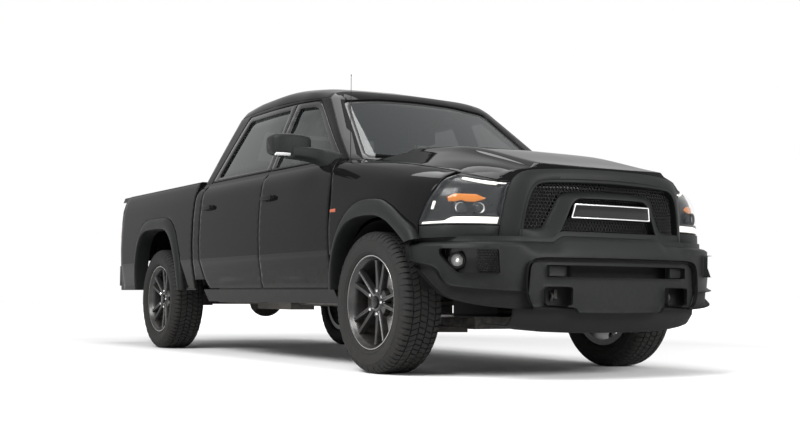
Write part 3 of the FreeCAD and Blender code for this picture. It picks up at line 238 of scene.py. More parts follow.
def along(rows):
    # a smooth curve through rows of (place, values...), with no overshoot
    table = np.array(rows, float)
    if table[0, 0] > table[-1, 0]:
        table = table[::-1]
    places, values = table[:, 0], table[:, 1:]
    gaps = np.diff(places)[:, None]
    slopes = np.diff(values, axis=0) / gaps
    ends = np.zeros_like(values)
    ends[0], ends[-1] = slopes[0], slopes[-1]
    for i in range(1, len(places) - 1):
        a, b = slopes[i - 1], slopes[i]
        w1, w2 = 2 * gaps[i] + gaps[i - 1], gaps[i] + 2 * gaps[i - 1]
        same = a * b > 0
        safeA, safeB = np.where(same, a, 1.0), np.where(same, b, 1.0)
        ends[i] = np.where(same, (w1 + w2) / (w1 / safeA + w2 / safeB), 0.0)

    def curve(place):
        i = int(np.clip(np.searchsorted(places, place) - 1, 0, len(places) - 2))
        h = places[i + 1] - places[i]
        t = (place - places[i]) / h
        if t < 0:
            return values[0] + ends[0] * (place - places[0])
        if t > 1:
            return values[-1] + ends[-1] * (place - places[-1])
        t2, t3 = t * t, t * t * t
        return ((2 * t3 - 3 * t2 + 1) * values[i] + (t3 - 2 * t2 + t) * h * ends[i]
                + (3 * t2 - 2 * t3) * values[i + 1] + (t3 - t2) * h * ends[i + 1])
    return curve


def rounded(corners, radius, steps=5):
    # a closed outline with round corners; radius is one number or one for each corner
    radii = radius if isinstance(radius, (list, tuple)) else [radius] * len(corners)
    result = []
    count = len(corners)
    for i in range(count):
        here = Vector(corners[i])
        before, after = Vector(corners[i - 1]) - here, Vector(corners[(i + 1) % count]) - here
        cut = min(radii[i], before.length * 0.45, after.length * 0.45)
        if cut < 0.5:
            result.append(tuple(here))
            continue
        first, last = here + before.normalized() * cut, here + after.normalized() * cut
        for step in range(steps + 1):
            t = step / steps
            spot = first * (1 - t) ** 2 + here * 2 * t * (1 - t) + last * t * t
            result.append(tuple(spot))
    return result


def spaced(outline, step):
    # the outline with extra points, none further apart than step
    result = []
    for a, b in zip(outline, outline[1:] + outline[:1]):
        count = max(1, math.ceil(math.dist(a, b) / step))
        result += [tuple(a[k] + (b[k] - a[k]) * i / count for k in range(len(a))) for i in range(count)]
    return result


def inOutline(spot, outline):
    x, y = spot
    found = False
    for (ax, ay), (bx, by) in zip(outline, outline[1:] + outline[:1]):
        if (ay > y) != (by > y) and x < (bx - ax) * (y - ay) / (by - ay) + ax:
            found = not found
    return found


def area(outline):
    return sum(a[0] * b[1] - b[0] * a[1] for a, b in zip(outline, outline[1:] + outline[:1])) / 2


def moved(outline, distance):
    # each point moved out of the outline along its own normal
    turn = 1 if area(outline) > 0 else -1
    result = []
    count = len(outline)
    for i in range(count):
        before, after = Vector(outline[i - 1]), Vector(outline[(i + 1) % count])
        lineOf = (after - before).normalized()
        normal = Vector((lineOf.y, -lineOf.x)) * turn
        result.append(tuple(Vector(outline[i]) + normal * distance))
    return result


def surfaceAt(place, u, v):
    # a surface's point, its direction along u and its normal
    here = np.array(place(u, v), float)
    du = np.array(place(u + 1.0, v), float) - here
    dv = np.array(place(u, v + 1.0), float) - here
    normal = np.cross(du, dv)
    return here, du, normal / (np.linalg.norm(normal) or 1.0)


def onPanel(spot, outer, holes):
    return inOutline(spot, outer) and not any(inOutline(spot, hole) for hole in holes)


def sheet(name, place, outline, finish, holes=(), step=28.0, hem=3.0, depth=12.0, side=1, lift=0.0, spacing=None):
    # a formed panel on the surface place(u, v), with a rounded hem and an edge of some depth that runs back from it
    # side 1 faces the way the surface's own normal does, and -1 the other way
    spacing = spacing or step * 0.6
    outer = moved(spaced(outline, spacing), -hem)
    inner = [moved(spaced(hole, spacing), hem) for hole in holes]
    loops = [outer] + inner
    flat = [p for one in loops for p in one]
    edges = []
    start = 0
    for one in loops:
        edges += [(start + i, start + (i + 1) % len(one)) for i in range(len(one))]
        start += len(one)
    us, vs = [p[0] for p in outer], [p[1] for p in outer]
    grid = []
    rows = int((max(vs) - min(vs)) / step) + 1
    columns = int((max(us) - min(us)) / step) + 1
    border = np.array(flat)
    for r in range(1, rows):
        for c in range(1, columns):
            spot = (min(us) + c * step + (r % 2) * step * 0.5 - step * 0.25, min(vs) + r * step)
            if onPanel(spot, outer, inner) and np.min(np.hypot(*(border - spot).T)) > step * 0.45:
                grid.append(spot)
    made = delaunay_2d_cdt([Vector(p) for p in flat + grid], edges, [], 0, 1e-6)
    spots = [tuple(p) for p in made[0]]
    faces = []
    for face in made[2]:
        middle = tuple(sum(spots[i][k] for i in face) / len(face) for k in range(2))
        if onPanel(middle, outer, inner):
            faces.append(list(face))

    points = []
    for u, v in spots:
        here, _, normal = surfaceAt(place, u, v)
        points.append(here + normal * side * lift)
    lookup = {source: index for index, sources in enumerate(made[3]) for source in sources}
    start = 0
    for number, one in enumerate(loops):
        ring = [lookup[start + i] for i in range(len(one))]
        start += len(one)
        outside = moved(one, 1.0 if number == 0 else -1.0)
        for angle, drop in ((45, 0), (90, 0), (90, depth)):
            a = math.radians(angle)
            nextRing = []
            for (u, v), (ou, ov) in zip(one, outside):
                here, _, normal = surfaceAt(place, u, v)
                away = np.array(place(ou, ov), float) - here
                away = away / (np.linalg.norm(away) or 1.0)
                raised = lift - hem * (1 - math.cos(a)) - drop
                points.append(here + normal * side * raised + away * hem * math.sin(a))
                nextRing.append(len(points) - 1)
            for i in range(len(ring)):
                j = (i + 1) % len(ring)
                faces.append([ring[i], ring[j], nextRing[j], nextRing[i]])
            ring = nextRing
    return outward(newPiece(name, points, faces, finish))


def outward(piece):
    # merges doubles and makes neighbouring faces agree
    work = bmesh.new()
    work.from_mesh(piece.data)
    bmesh.ops.remove_doubles(work, verts=work.verts, dist=0.00002)
    bmesh.ops.recalc_face_normals(work, faces=work.faces)
    work.to_mesh(piece.data)
    work.free()
    return piece


def blendStep(value, low, high):
    # 0 below low, 1 above high and smooth between
    t = min(max((value - low) / (high - low), 0.0), 1.0)
    return t * t * (3 - 2 * t)


# Body surfaces

body = {
    "beltHeight": 1290, "skinLift": 1.6, "hem": 2.6, "step": 30,
    "lowTurn": 0.155, "creaseHeight": 700, "creaseOut": 1004, "tailFrom": -2560, "tailTurn": 0.00155,
}
doorFold = {"middle": 350, "reach": 900, "depth": 5.0, "height": 500, "rise": 42, "width": 13}
hoodDome = {"rise": 66, "start": 2760, "full": 2000, "edge": 770, "top": 430}
hoodRear = {"middle": 1562, "sag": 116, "halfWidth": 840}
sideCurve = along([(480, 1000.5), (700, 1004), (850, 1008.5), (1000, 1004), (1100, 995), (1180, 985), (1215, 976),
                   (1245, 960), (1270, 940), (1290, 916), (1300, 896)])
bedCurve = along([(480, 1000.5), (700, 1004), (850, 1008.5), (1000, 1004), (1100, 995), (1180, 985), (1240, 970),
                  (1290, 951), (1316, 937), (1322, 925)])


def underCrease(z):
    return body["creaseOut"] - (body["creaseHeight"] - z) * body["lowTurn"]


def doorSkin(s):
    def place(x, z):
        middle = max(0.0, 1 - ((x - doorFold["middle"]) / doorFold["reach"]) ** 2)
        crest = doorFold["height"] + doorFold["rise"] * middle
        fold = doorFold["depth"] * math.exp(-((z - crest) / doorFold["width"]) ** 2) * min(1.0, middle * 2)
        return x, s * (min(float(sideCurve(z)[0]), underCrease(z)) + fold), z
    return place


def bedSkin(s):
    def place(x, z):
        y = min(float(bedCurve(z)[0]), underCrease(z))
        if x < body["tailFrom"]:
            y -= (x - body["tailFrom"]) ** 2 * body["tailTurn"]
        return x, s * y, z
    return place


houseRows = along([
    (1560, 790, 560, 1735, 1745), (1050, 885, 622, 1772, 1800), (740, 912, 652, 1790, 1856),
    (400, 925, 695, 1808, 1928), (0, 928, 712, 1818, 1965), (-350, 928, 708, 1816, 1956),
    (-700, 925, 695, 1800, 1916), (-960, 922, 680, 1780, 1876),
])


def cabSide(s):
    # the leaning side of the cabin above the belt
    def place(x, z):
        beltHalf, railHalf, railHeight = houseRows(x)[:3]
        share = (z - body["beltHeight"]) / (railHeight - body["beltHeight"])
        bulge = 5.0 * math.sin(math.pi * min(max(share, 0), 1))
        return x, s * (beltHalf + (railHalf - beltHalf) * share + bulge), z
    return place


def roofPlace(x, y):
    railHalf, railHeight, crown = houseRows(x)[1:]
    rise = crown - railHeight
    heights = along([(0, crown), (railHalf - 260, railHeight + rise * 0.88), (railHalf - 55, railHeight + rise * 0.5),
                     (railHalf, railHeight)])
    return x, y, float(heights(abs(y))[0])


def sampled(place, us, vs):
    # a table of a slow surface, read back between its points
    table = np.array([[place(u, v) for v in vs] for u in us], float)

    def readBack(u, v):
        i = int(np.clip(np.searchsorted(us, u) - 1, 0, len(us) - 2))
        j = int(np.clip(np.searchsorted(vs, v) - 1, 0, len(vs) - 2))
        a, b = (u - us[i]) / (us[i + 1] - us[i]), (v - vs[j]) / (vs[j + 1] - vs[j])
        return ((table[i, j] * (1 - a) + table[i + 1, j] * a) * (1 - b)
                + (table[i, j + 1] * (1 - a) + table[i + 1, j + 1] * a) * b)
    return readBack


fenderRows = [
    (2700, [(846, 480), (866, 705), (858, 850), (838, 960), (806, 1012), (745, 1042), (665, 1066)]),
    (2450, [(935, 480), (967, 705), (964, 850), (946, 1000), (922, 1058), (880, 1098), (800, 1132)]),
    (2168, [(958, 480), (996, 705), (998, 850), (984, 1010), (958, 1098), (905, 1150), (842, 1184)]),
    (1800, [(964, 480), (1003, 705), (1007, 850), (994, 1030), (974, 1140), (922, 1208), (846, 1238)]),
    (1416, [(965, 480), (1003, 705), (1008, 850), (994, 1060), (983, 1190), (928, 1262), (838, 1288)]),
]
hoodRows = [
    (2860, [(0, 1146), (430, 1143), (462, 1122), (560, 1098), (640, 1064)]),
    (2700, [(0, 1182), (436, 1179), (478, 1154), (580, 1122), (659, 1068)]),
    (2450, [(0, 1224), (440, 1220), (500, 1190), (640, 1176), (794, 1134)]),
    (2168, [(0, 1259), (440, 1254), (515, 1226), (690, 1214), (836, 1186)]),
    (1800, [(0, 1292), (440, 1287), (520, 1262), (700, 1252), (840, 1240)]),
    (1420, [(0, 1316), (440, 1311), (520, 1292), (700, 1288), (832, 1282)]),
]


def acrossRows(rows):
    # smooth section at any x from sections at a few
    lines = along([[x] + [value for point in points for value in point] for x, points in rows])

    def section(x):
        values = lines(x)
        return [(values[i], values[i + 1]) for i in range(0, len(values), 2)]
    return section


fenderSection = acrossRows(fenderRows)
hoodSection = acrossRows(hoodRows)


def fenderTrack(x, count=48):
    # points of the fender's section evenly up the skin
    points = fenderSection(x)
    line = along([(i, y, z) for i, (y, z) in enumerate(points)])
    track = np.array([line(t) for t in np.linspace(0, len(points) - 1, count)])
    run = np.concatenate([[0], np.cumsum(np.hypot(*np.diff(track, axis=0).T))])
    return track, run


fenderTable = {x: fenderTrack(x) for x in np.linspace(1400, 2720, 67)}
fenderXs = np.array(sorted(fenderTable))


def fenderAt(x, v):
    # v is the distance up the skin from the section's low end
    i = int(np.clip(np.searchsorted(fenderXs, x) - 1, 0, len(fenderXs) - 2))
    share = (x - fenderXs[i]) / (fenderXs[i + 1] - fenderXs[i])
    spots = []
    for k in (i, i + 1):
        track, run = fenderTable[fenderXs[k]]
        spots.append([np.interp(v, run, track[:, 0]), np.interp(v, run, track[:, 1])])
    return np.array(spots[0]) * (1 - share) + np.array(spots[1]) * share


def fenderUp(x, z):
    # how far up the skin a height lies
    near = fenderTable[fenderXs[int(np.argmin(abs(fenderXs - x)))]]
    return float(np.interp(z, near[0][:, 1], near[1]))


def fenderTop(x):
    near = fenderTable[fenderXs[int(np.argmin(abs(fenderXs - x)))]]
    return float(near[1][-1])


def fenderSkin(s):
    def place(x, v):
        y, z = fenderAt(x, v)
        return x, s * (y - max(0.0, (body["creaseHeight"] - z) * 0.09)), z
    return place


def hoodPlace(x, y):
    heights = along(hoodSection(x))
    share = blendStep(-x, -hoodDome["start"], -hoodDome["full"])
    across = blendStep(-abs(y), -hoodDome["edge"], -hoodDome["top"])
    return x, y, float(heights(abs(y))[0]) + hoodDome["rise"] * share * across


def hoodRearX(y, setback=0):
    # the bowed rear edge of the hood
    return hoodRear["middle"] - setback - hoodRear["sag"] * (y / hoodRear["halfWidth"]) ** 2


hoodSurface = sampled(hoodPlace, np.linspace(1400, 2880, 75), np.linspace(-860, 860, 173))
roofSurface = sampled(roofPlace, np.linspace(-1000, 1560, 86), np.linspace(-760, 760, 153))

flareFrontIn = [
    (1467, 480), (1472, 560), (1502, 690), (1570, 800), (1670, 872), (1790, 900), (1892, 905),
    (1994, 900), (2110, 870), (2220, 810), (2330, 735),
]
flareFrontOut = [
    (1422, 480), (1424, 540), (1462, 700), (1545, 850), (1660, 950), (1780, 995), (1892, 1002),
    (2010, 995), (2130, 955), (2260, 880), (2380, 800), (2410, 752),
]
flareRearIn = [
    (-2165, 480), (-2170, 640), (-2110, 850), (-2010, 950), (-1880, 980), (-1677, 985), (-1500, 980),
    (-1370, 930), (-1270, 820), (-1190, 640), (-1150, 480),
]
flareRearOut = [
    (-2215, 480), (-2218, 640), (-2160, 880), (-2060, 1010), (-1900, 1070), (-1677, 1077),
    (-1470, 1070), (-1310, 1010), (-1200, 880), (-1120, 640), (-1095, 480),
]


def smoothLine(points, step=18):
    # an open line of points made smooth, evenly spaced
    runs = [0.0]
    for a, b in zip(points, points[1:]):
        runs.append(runs[-1] + math.dist(a, b))
    curve = along([(run,) + tuple(p) for run, p in zip(runs, points)])
    count = max(2, round(runs[-1] / step))
    return [tuple(float(c) for c in curve(runs[-1] * i / count)) for i in range(count + 1)]


# Door, fender, bed and hood skins

def bodySheet(name, place, outline, s, step=body["step"], depth=12.0):
    # a painted skin that faces outward on its side
    return sheet(name, place, outline, "paint", step=step, hem=body["hem"], depth=depth, side=-s, lift=body["skinLift"])


doorOutlines = {
    "front": rounded([(1408, 640), (1395, 494), (394, 494), (388, 1000), (386, 1299), (1408, 1299)],
                     [40, 60, 26, 0, 6, 6]),
    "rear": rounded([(380, 1299), (382, 1000), (387, 494), (-568, 494), (-652, 576), (-708, 720), (-712, 1200),
                     (-706, 1299)], [6, 0, 26, 40, 60, 60, 80, 6]),
}
doorBodies = {"front": "front_door_", "rear": "rear_door_"}
skins = {}
for sideName, s in sides.items():
    for door, outline in doorOutlines.items():
        name = door + "DoorSkin." + sideName
        skins[name] = bodySheet(name, doorSkin(s), outline, s)
        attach(skins[name], doorBodies[door] + sideName)
    bedLine = ([(-874, 490), (-874, 1322), (-2736, 1322), (-2736, 490), (-2217, 490)]
               + smoothLine(flareRearOut)[1:-1] + [(-1093, 490)])
    name = "bedSkin." + sideName
    skins[name] = bodySheet(name, bedSkin(s), bedLine, s)
    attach(skins[name], "chassis")
    arch = [p for p in smoothLine(flareFrontOut) if 1430 < p[0] < 2392]
    lampEdge = [(2394, 790), (2394, 850), (2500, 1046)]
    fenderLine = [(1418, fenderUp(1418, 690))] + [(x, fenderUp(x, z)) for x, z in arch if z > 690]
    fenderLine += [(x, fenderUp(x, z)) for x, z in spaced(lampEdge, 30)[:8]]
    fenderLine += [(2496, fenderUp(2496, 1046))] + [(x, fenderTop(x) - 4) for x in range(2490, 1418, -36)]
    fenderLine += [(1418, fenderTop(1418) - 4)]
    name = "fenderSkin." + sideName
    skins[name] = bodySheet(name, fenderSkin(s), fenderLine, s, step=24)
    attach(skins[name], "chassis")
print("side skins made")

hoodEdge = [(2700, 661), (2450, 796), (2168, 838), (1800, 842), (1446, 834)]


def hoodLine():
    left = smoothLine(hoodEdge, 40)
    front = [(min(2838, 1313 + math.sqrt(1527 ** 2 - y * y) - 4), y) for y in [655 - 1310 * i / 40 for i in range(41)]]
    rear = [(hoodRearX(y), y) for y in [-834 + 1668 * i / 40 for i in range(41)]]
    return front + [(x, -y) for x, y in left[1:-1]] + rear + list(reversed(left))[1:-1]


skins["hood"] = sheet("hoodSkin", hoodSurface, hoodLine(), "paint", step=26, hem=body["hem"], lift=body["skinLift"])
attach(skins["hood"], "hood")
print("hood skin made")


# Helpers for rows of points

def resampled(rows, steps):
    # rows of points made smooth from row to row and evenly spaced
    data = np.array(rows, float)
    gaps = np.linalg.norm(np.diff(data, axis=0), axis=2).mean(axis=1)
    runs = np.concatenate([[0], np.cumsum(gaps)])
    curve = along(np.column_stack([runs, data.reshape(len(rows), -1)]))
    return np.array([curve(t) for t in np.linspace(0, runs[-1], steps)]).reshape(steps, data.shape[1], 3)


def skinned(name, rows, finish, closed=True, ends=True, angle=None, loop=False):
    # a surface through rows of points; closed joins the last point of each row to its first
    width = len(rows[0])
    points = [tuple(p) for row in rows for p in row]
    faces = []
    count = len(rows)
    for r in range(count if loop else count - 1):
        below, above = r * width, ((r + 1) % count) * width
        for c in range(width if closed else width - 1):
            d = (c + 1) % width
            faces.append([below + c, below + d, above + d, above + c])
    if ends and not loop:
        faces += [list(range(width))[::-1], list(range((count - 1) * width, count * width))]
    piece = outward(newPiece(name, points, faces, finish))
    if angle:
        smoothedBy(piece, angle)
    return piece


def bothHalves(rows):
    # rows drawn for one half, carried on over the middle to the other
    other = [[(p[0], -p[1], p[2]) for p in row] for row in reversed(rows[:-1])]
    return [list(row) for row in rows] + other


def onSide(s, points, radius):
    # a rounded outline of (place across, height) on one side
    return rounded([(s * y, z) for y, z in points], radius)


def noseBand(name, rows, profile, finish, steps=110, angle=38, whole=True):
    # a moulding over the nose; profile points are share across, extra reach, rise and setback
    made = resampled(bothHalves(rows) if whole else rows, steps)
    sections = []
    for far, near in made:
        across = far - near
        width = np.linalg.norm(across)
        across = across / width
        rise = np.array([1.0, 0, 0]) - across * across[0]
        rise = rise / np.linalg.norm(rise)
        sections.append([near + across * (share * width + extra) + rise * lift - np.array([back, 0, 0])
                         for share, extra, lift, back in profile])
    return skinned(name, sections, finish, angle=angle)


def ride(pieces, bodyName):
    for piece in (pieces if isinstance(pieces, list) else [pieces]):
        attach(piece, bodyName)


# Grille

grilleSizes = {"cell": 12.5, "wall": 2.2, "depth": 12.0, "steps": 120}
surroundRows = [
    [(2690, 655, 742), (2772, 567, 742)], [(2697, 651, 800), (2778, 560, 800)],
    [(2708, 640, 874), (2789, 545, 900)], [(2722, 620, 985), (2797, 525, 975)],
    [(2734, 597, 1060), (2801, 505, 1018)], [(2750, 560, 1102), (2805, 478, 1044)],
    [(2775, 500, 1122), (2812, 440, 1056)], [(2808, 380, 1131), (2826, 340, 1062)],
    [(2832, 200, 1137), (2842, 190, 1066)], [(2842, 0, 1139), (2850, 0, 1068)],
]
barRows = [
    [(2774, 574, 805), (2768, 582, 744)], [(2777, 500, 806), (2790, 480, 742)],
    [(2776, 440, 815), (2808, 425, 742)], [(2774, 409, 840), (2817, 392, 750)],
    [(2780, 385, 880), (2824, 350, 800)], [(2788, 355, 935), (2832, 312, 880)],
    [(2794, 332, 985), (2839, 280, 950)], [(2799, 300, 1008), (2843, 250, 978)],
    [(2812, 240, 1016), (2850, 215, 986)], [(2826, 120, 1019), (2858, 110, 989)],
    [(2830, 0, 1020), (2861, 0, 990)],
]
surroundProfile = [
    (1, 5, -9, 30), (1, 5, -6, 0), (1, 2, -1, 0), (1, -4, 1, 0), (0.75, 0, 6.5, 0), (0.5, 0, 8.5, 0),
    (0.25, 0, 7, 0), (0, 17, 4, 0), (0, 13.5, 1.2, 0), (0, 11, 1.2, 0), (0, 9, 3.6, 0), (0, 3, 4, 0),
    (0, 0, 2, 0), (0, -2, -2, 0), (0, -2, -3, 58),
]
barProfile = [
    (1, 1, -3, 26), (1, 1, -2, 0), (1, -3, 1.0, 0), (0.7, 0, 2, 0), (0.3, 0, 2.5, 0), (0, 4, 2, 0), (0, 0, 1.5, 0),
    (0, -7, 0, 0), (0, -10, -3, 0), (0, -10, -3, 50),
]
surround = noseBand("grilleSurround", surroundRows, surroundProfile, "trim", grilleSizes["steps"])
innerBar = noseBand("grilleInnerBar", barRows, barProfile, "trim", grilleSizes["steps"])
meshX = along([(0, 2804), (190, 2796), (340, 2780), (440, 2766), (505, 2755), (576, 2722)])


def meshPlace(y, z):
    return float(meshX(abs(y))[0]), y, z


meshHalf = [(0, 1072), (190, 1070), (340, 1066), (446, 1060), (486, 1046), (512, 1020), (532, 975), (552, 900),
            (566, 780)]
meshEdge = meshHalf + [(-y, z) for y, z in reversed(meshHalf[1:])]
meshBack = sheet("grilleMeshBack", lambda y, z: (meshPlace(y, z)[0] - 14, y, z), meshEdge, "gloss", step=60, hem=1,
                 depth=2)


def treeWith(name, sockets):
    # an empty geometry tree with named inputs
    tree = bpy.data.node_groups.new(name, "GeometryNodeTree")
    tree.interface.new_socket("Geometry", in_out="INPUT", socket_type="NodeSocketGeometry")
    tree.interface.new_socket("Geometry", in_out="OUTPUT", socket_type="NodeSocketGeometry")
    for socket, value in sockets.items():
        made = tree.interface.new_socket(socket, in_out="INPUT", socket_type="NodeSocketFloat")
        made.default_value = value
    return tree


def addNode(tree, kind, inputs, **settings):
    made = tree.nodes.new(kind)
    for key, value in settings.items():
        setattr(made, key, value)
    for key, value in inputs.items():
        if isinstance(value, bpy.types.NodeSocket):
            tree.links.new(value, made.inputs[key])
        else:
            made.inputs[key].default_value = value
    return made


def scattered(name, spots, facings, tangents, tree, values, finish):
    # runs a tree on loose points that carry the two directions of each copy, and keeps plain mesh
    mesh = bpy.data.meshes.new(name)
    mesh.from_pydata([tuple(c * mm for c in p) for p in spots], [], [])
    for key, directions in (("facing", facings), ("tangent", tangents)):
        layer = mesh.attributes.new(key, "FLOAT_VECTOR", "POINT")
        layer.data.foreach_set("vector", [c for d in directions for c in d])
    piece = newObject(name, mesh)
    modifier = piece.modifiers.new("maker", "NODES")
    modifier.node_group = tree
    sockets = {item.name: item.identifier for item in tree.interface.items_tree if item.in_out == "INPUT"}
    for key, value in values.items():
        modifier[sockets[key]] = value
    applied(piece)
    piece.data.materials.clear()
    piece.data.materials.append(finishes[finish])
    return piece


def instanceTail(tree, points, instance):
    # places the instance on each point, its Z along facing and its X along tangent
    facing, tangent = [addNode(tree, "GeometryNodeInputNamedAttribute", {"Name": key}, data_type="FLOAT_VECTOR")
                       for key in ("facing", "tangent")]
    turn = addNode(tree, "FunctionNodeAlignRotationToVector", {"Vector": facing.outputs["Attribute"]}, axis="Z")
    both = addNode(tree, "FunctionNodeAlignRotationToVector",
                   {"Rotation": turn.outputs[0], "Vector": tangent.outputs["Attribute"]}, axis="X", pivot_axis="Z")
    placed = addNode(tree, "GeometryNodeInstanceOnPoints", {"Points": points, "Instance": instance,
                                                            "Rotation": both.outputs[0]})
    real = addNode(tree, "GeometryNodeRealizeInstances", {"Geometry": placed.outputs[0]})
    addNode(tree, "NodeGroupOutput", {0: real.outputs[0]})


def cellTree():
    tree = treeWith("honeycombCells", {"Cell": 0.0125, "Wall": 0.002, "Depth": 0.012})
    given = addNode(tree, "NodeGroupInput", {})
    ring = addNode(tree, "GeometryNodeCurvePrimitiveCircle", {"Resolution": 6, "Radius": given.outputs["Cell"]},
                   mode="RADIUS")
    wall = addNode(tree, "GeometryNodeCurvePrimitiveQuadrilateral",
                   {"Width": given.outputs["Wall"], "Height": given.outputs["Depth"]}, mode="RECTANGLE")
    cell = addNode(tree, "GeometryNodeCurveToMesh", {"Curve": ring.outputs[0], "Profile Curve": wall.outputs[0]})
    instanceTail(tree, given.outputs["Geometry"], cell.outputs[0])
    return tree


honeycombTree = cellTree()


def honeycomb(name, outline, place, cell, wall, depth, finish, clear=None):
    # hexagon cells over a surface
    ys, zs = [p[0] for p in outline], [p[1] for p in outline]
    spots, facings, tangents = [], [], []
    across, up = cell * math.sqrt(3), cell * 1.5
    for row in range(int((max(zs) - min(zs)) / up) + 1):
        for column in range(int((max(ys) - min(ys)) / across) + 2):
            y = min(ys) + (column + 0.5 * (row % 2)) * across
            z = min(zs) + row * up
            if not inOutline((y, z), outline) or (clear and inOutline((y, z), clear)):
                continue
            here, du, normal = surfaceAt(place, y, z)
            spots.append(tuple(here))
            facings.append(tuple(normal if normal[0] > 0 else -normal))
            tangents.append(tuple(du / np.linalg.norm(du)))
    values = {"Cell": cell * mm, "Wall": wall * mm, "Depth": depth * mm}
    return scattered(name, spots, facings, tangents, honeycombTree, values, finish)


plateOutline = rounded([(-283, 870), (-266, 948), (266, 948), (283, 870)], 7, 3)
plateInner = rounded([(-274, 877), (-259, 941), (259, 941), (274, 877)], 5, 3)


def platePlace(y, z):
    return 2866 - 0.000185 * y * y + (z - 909) * 0.12, y, z


meshCells = honeycomb("grilleMesh", meshEdge, meshPlace, grilleSizes["cell"], grilleSizes["wall"],
                      grilleSizes["depth"], "gloss", clear=[(-262, 892), (-250, 930), (250, 930), (262, 892)])
plateRim = sheet("badgePlateRim", platePlace, plateOutline, "bright", holes=[plateInner], step=22, hem=1.6, depth=40)
plateFace = sheet("badgePlateFace", lambda y, z: (platePlace(y, z)[0] - 5, y, z),
                  moved(plateInner, 1.0), "gloss", step=40, hem=1, depth=3)
grillePieces = [surround, innerBar, meshBack, meshCells, plateRim, plateFace]
ride(grillePieces, "hood")
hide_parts("grille")
print("grille made", len(meshCells.data.polygons))


# Front bumper

frontBumper = {
    "rise": 9.0, "step": 26, "hem": 4.0, "leanFrom": 560, "lean": 0.10, "shelf": 736, "tongueRise": 34,
    "roundFrom": 700, "roundDrop": 40, "lastRun": 790, "shelfSlope": 58, "sideRoll": 46,
}
bumperHalf = [(2250, 1010), (2337, 1004), (2480, 985), (2631, 930), (2740, 850), (2830, 700), (2866, 580), (2893, 420),
              (2908.5, 200), (2911, 0)]
bumperLine = resampled(bothHalves([[(x, y, 0)] for x, y in bumperHalf]), 241)[:, 0, :2]
bumperRun = np.concatenate([[0], np.cumsum(np.hypot(*np.diff(bumperLine, axis=0).T))])
bumperRun = bumperRun - bumperRun[-1] / 2
# u runs along the bumper from the left end, negative, to the right end


def runAt(y):
    # the run at which the bumper passes a place across the truck
    return float(np.interp(-y, -bumperLine[:, 1], bumperRun))


def bumperPlan(u, setback):
    here, ahead, behind = [np.array([np.interp(run, bumperRun, bumperLine[:, k]) for k in (0, 1)])
                           for run in (u, u + 4, u - 4)]
    tangent = (ahead - behind) / (np.linalg.norm(ahead - behind) or 1)
    normal = np.array([-tangent[1], tangent[0]])
    if normal[0] < 0:
        normal = -normal
    return here - normal * setback


def bumperFace(u, v):
    # v is the height up to the shelf, then runs on back over the shelf
    y = float(np.interp(u, bumperRun, bumperLine[:, 1]))
    middle = 1 - blendStep(abs(y), 330, 410)
    centre = 1 - blendStep(abs(y), 520, 640)
    top = frontBumper["shelf"] + frontBumper["tongueRise"] * middle
    start = frontBumper["roundFrom"] - frontBumper["roundDrop"] * centre
    setback = frontBumper["rise"]
    if v < frontBumper["leanFrom"]:
        setback += (frontBumper["leanFrom"] - v) * frontBumper["lean"]
    if v <= start:
        height = v
    else:
        t = min((v - start) / (frontBumper["lastRun"] - start), 1.0)
        height = start + (top - start) * min(t * 1.25, 1.0) ** 0.9
        slope = frontBumper["shelfSlope"] * centre * t ** 1.1
        setback += slope + (1 - centre) * (frontBumper["sideRoll"] * max(0.0, t - 0.45) / 0.55)
    x, y = bumperPlan(u, setback)
    return x, y, height


def onRun(points, s=1):
    # points of (place across, height) on one side as places along the bumper
    return [(runAt(s * y), z) for y, z in points]


def bothEnds(half):
    # an open line drawn for the left half, carried over to the right
    return onRun(half) + onRun([(-y, z) for y, z in reversed(half) if y > 0])


centreHalf = [(0, 655), (500, 653), (552, 648), (581, 632), (596, 600), (604, 520), (596, 440), (571, 391),
              (310, 391), (296, 362), (0, 358)]
centreOutline = rounded(bothEnds(centreHalf), 26, 4)
slotOutline = rounded(onRun([(348, 551), (-348, 551), (-348, 611), (348, 611)]), 5, 3)


def facing(s, points):
    # a side's places along the bumper, always turning the same way
    placed = onRun(points, s)
    return placed if s > 0 else placed[::-1]


def sideOutline(s, kind):
    corners, radius = {
        "fog": ([(951, 697), (951, 664), (906, 570), (734, 564), (742, 692)], 12),
        "hook": ([(500, 402), (337, 402), (337, 498), (500, 498)], 16),
        "block": ([(480, 551), (352, 551), (352, 611), (480, 611)], 7),
    }[kind]
    return rounded(facing(s, corners), radius, 4)


def behindFace(setback):
    # a surface that runs along inside the bumper
    return lambda u, z: (*bumperPlan(u, setback), z)


partLine = smoothLine([(1003, 640), (985, 616), (966, 599), (950, 538), (933, 506), (880, 494), (818, 487), (720, 480),
                       (642, 475), (588, 470)], 24)
tipLine = smoothLine([(1004, 728), (1003.5, 690), (1003, 640)], 24)
innerLine = [(586, 520), (580, 596), (568, 622), (545, 634), (500, 638), (0, 640)]
upperHalf = tipLine + partLine[1:] + innerLine
upperOutline = bothEnds(upperHalf) + onRun([(-1004, 789), (1004, 789)])
wings = sheet("frontBumperSkin", bumperFace, upperOutline, "trim", step=frontBumper["step"], hem=frontBumper["hem"],
              holes=[sideOutline(s, "fog") for s in (1, -1)], depth=24, spacing=14)
bumperPieces = [wings]


def claddingFace(u, z):
    setback = frontBumper["rise"] + 4 + (frontBumper["leanFrom"] - z) * frontBumper["lean"]
    return (*bumperPlan(u, setback), z)


lowLine = smoothLine([(1001, 634), (979, 526), (947, 452), (914, 428), (784, 396), (640, 384), (560, 380)], 24)
for sideName, s in sides.items():
    half = lowLine[1:] + [(558, 396), (580, 440), (588, 466)] + partLine[::-1][1:-1]
    bumperPieces.append(sheet("bumperCladding." + sideName, claddingFace, facing(s, half), "rough",
                              step=frontBumper["step"], hem=frontBumper["hem"], depth=26, spacing=14))
print("bumper skin made")


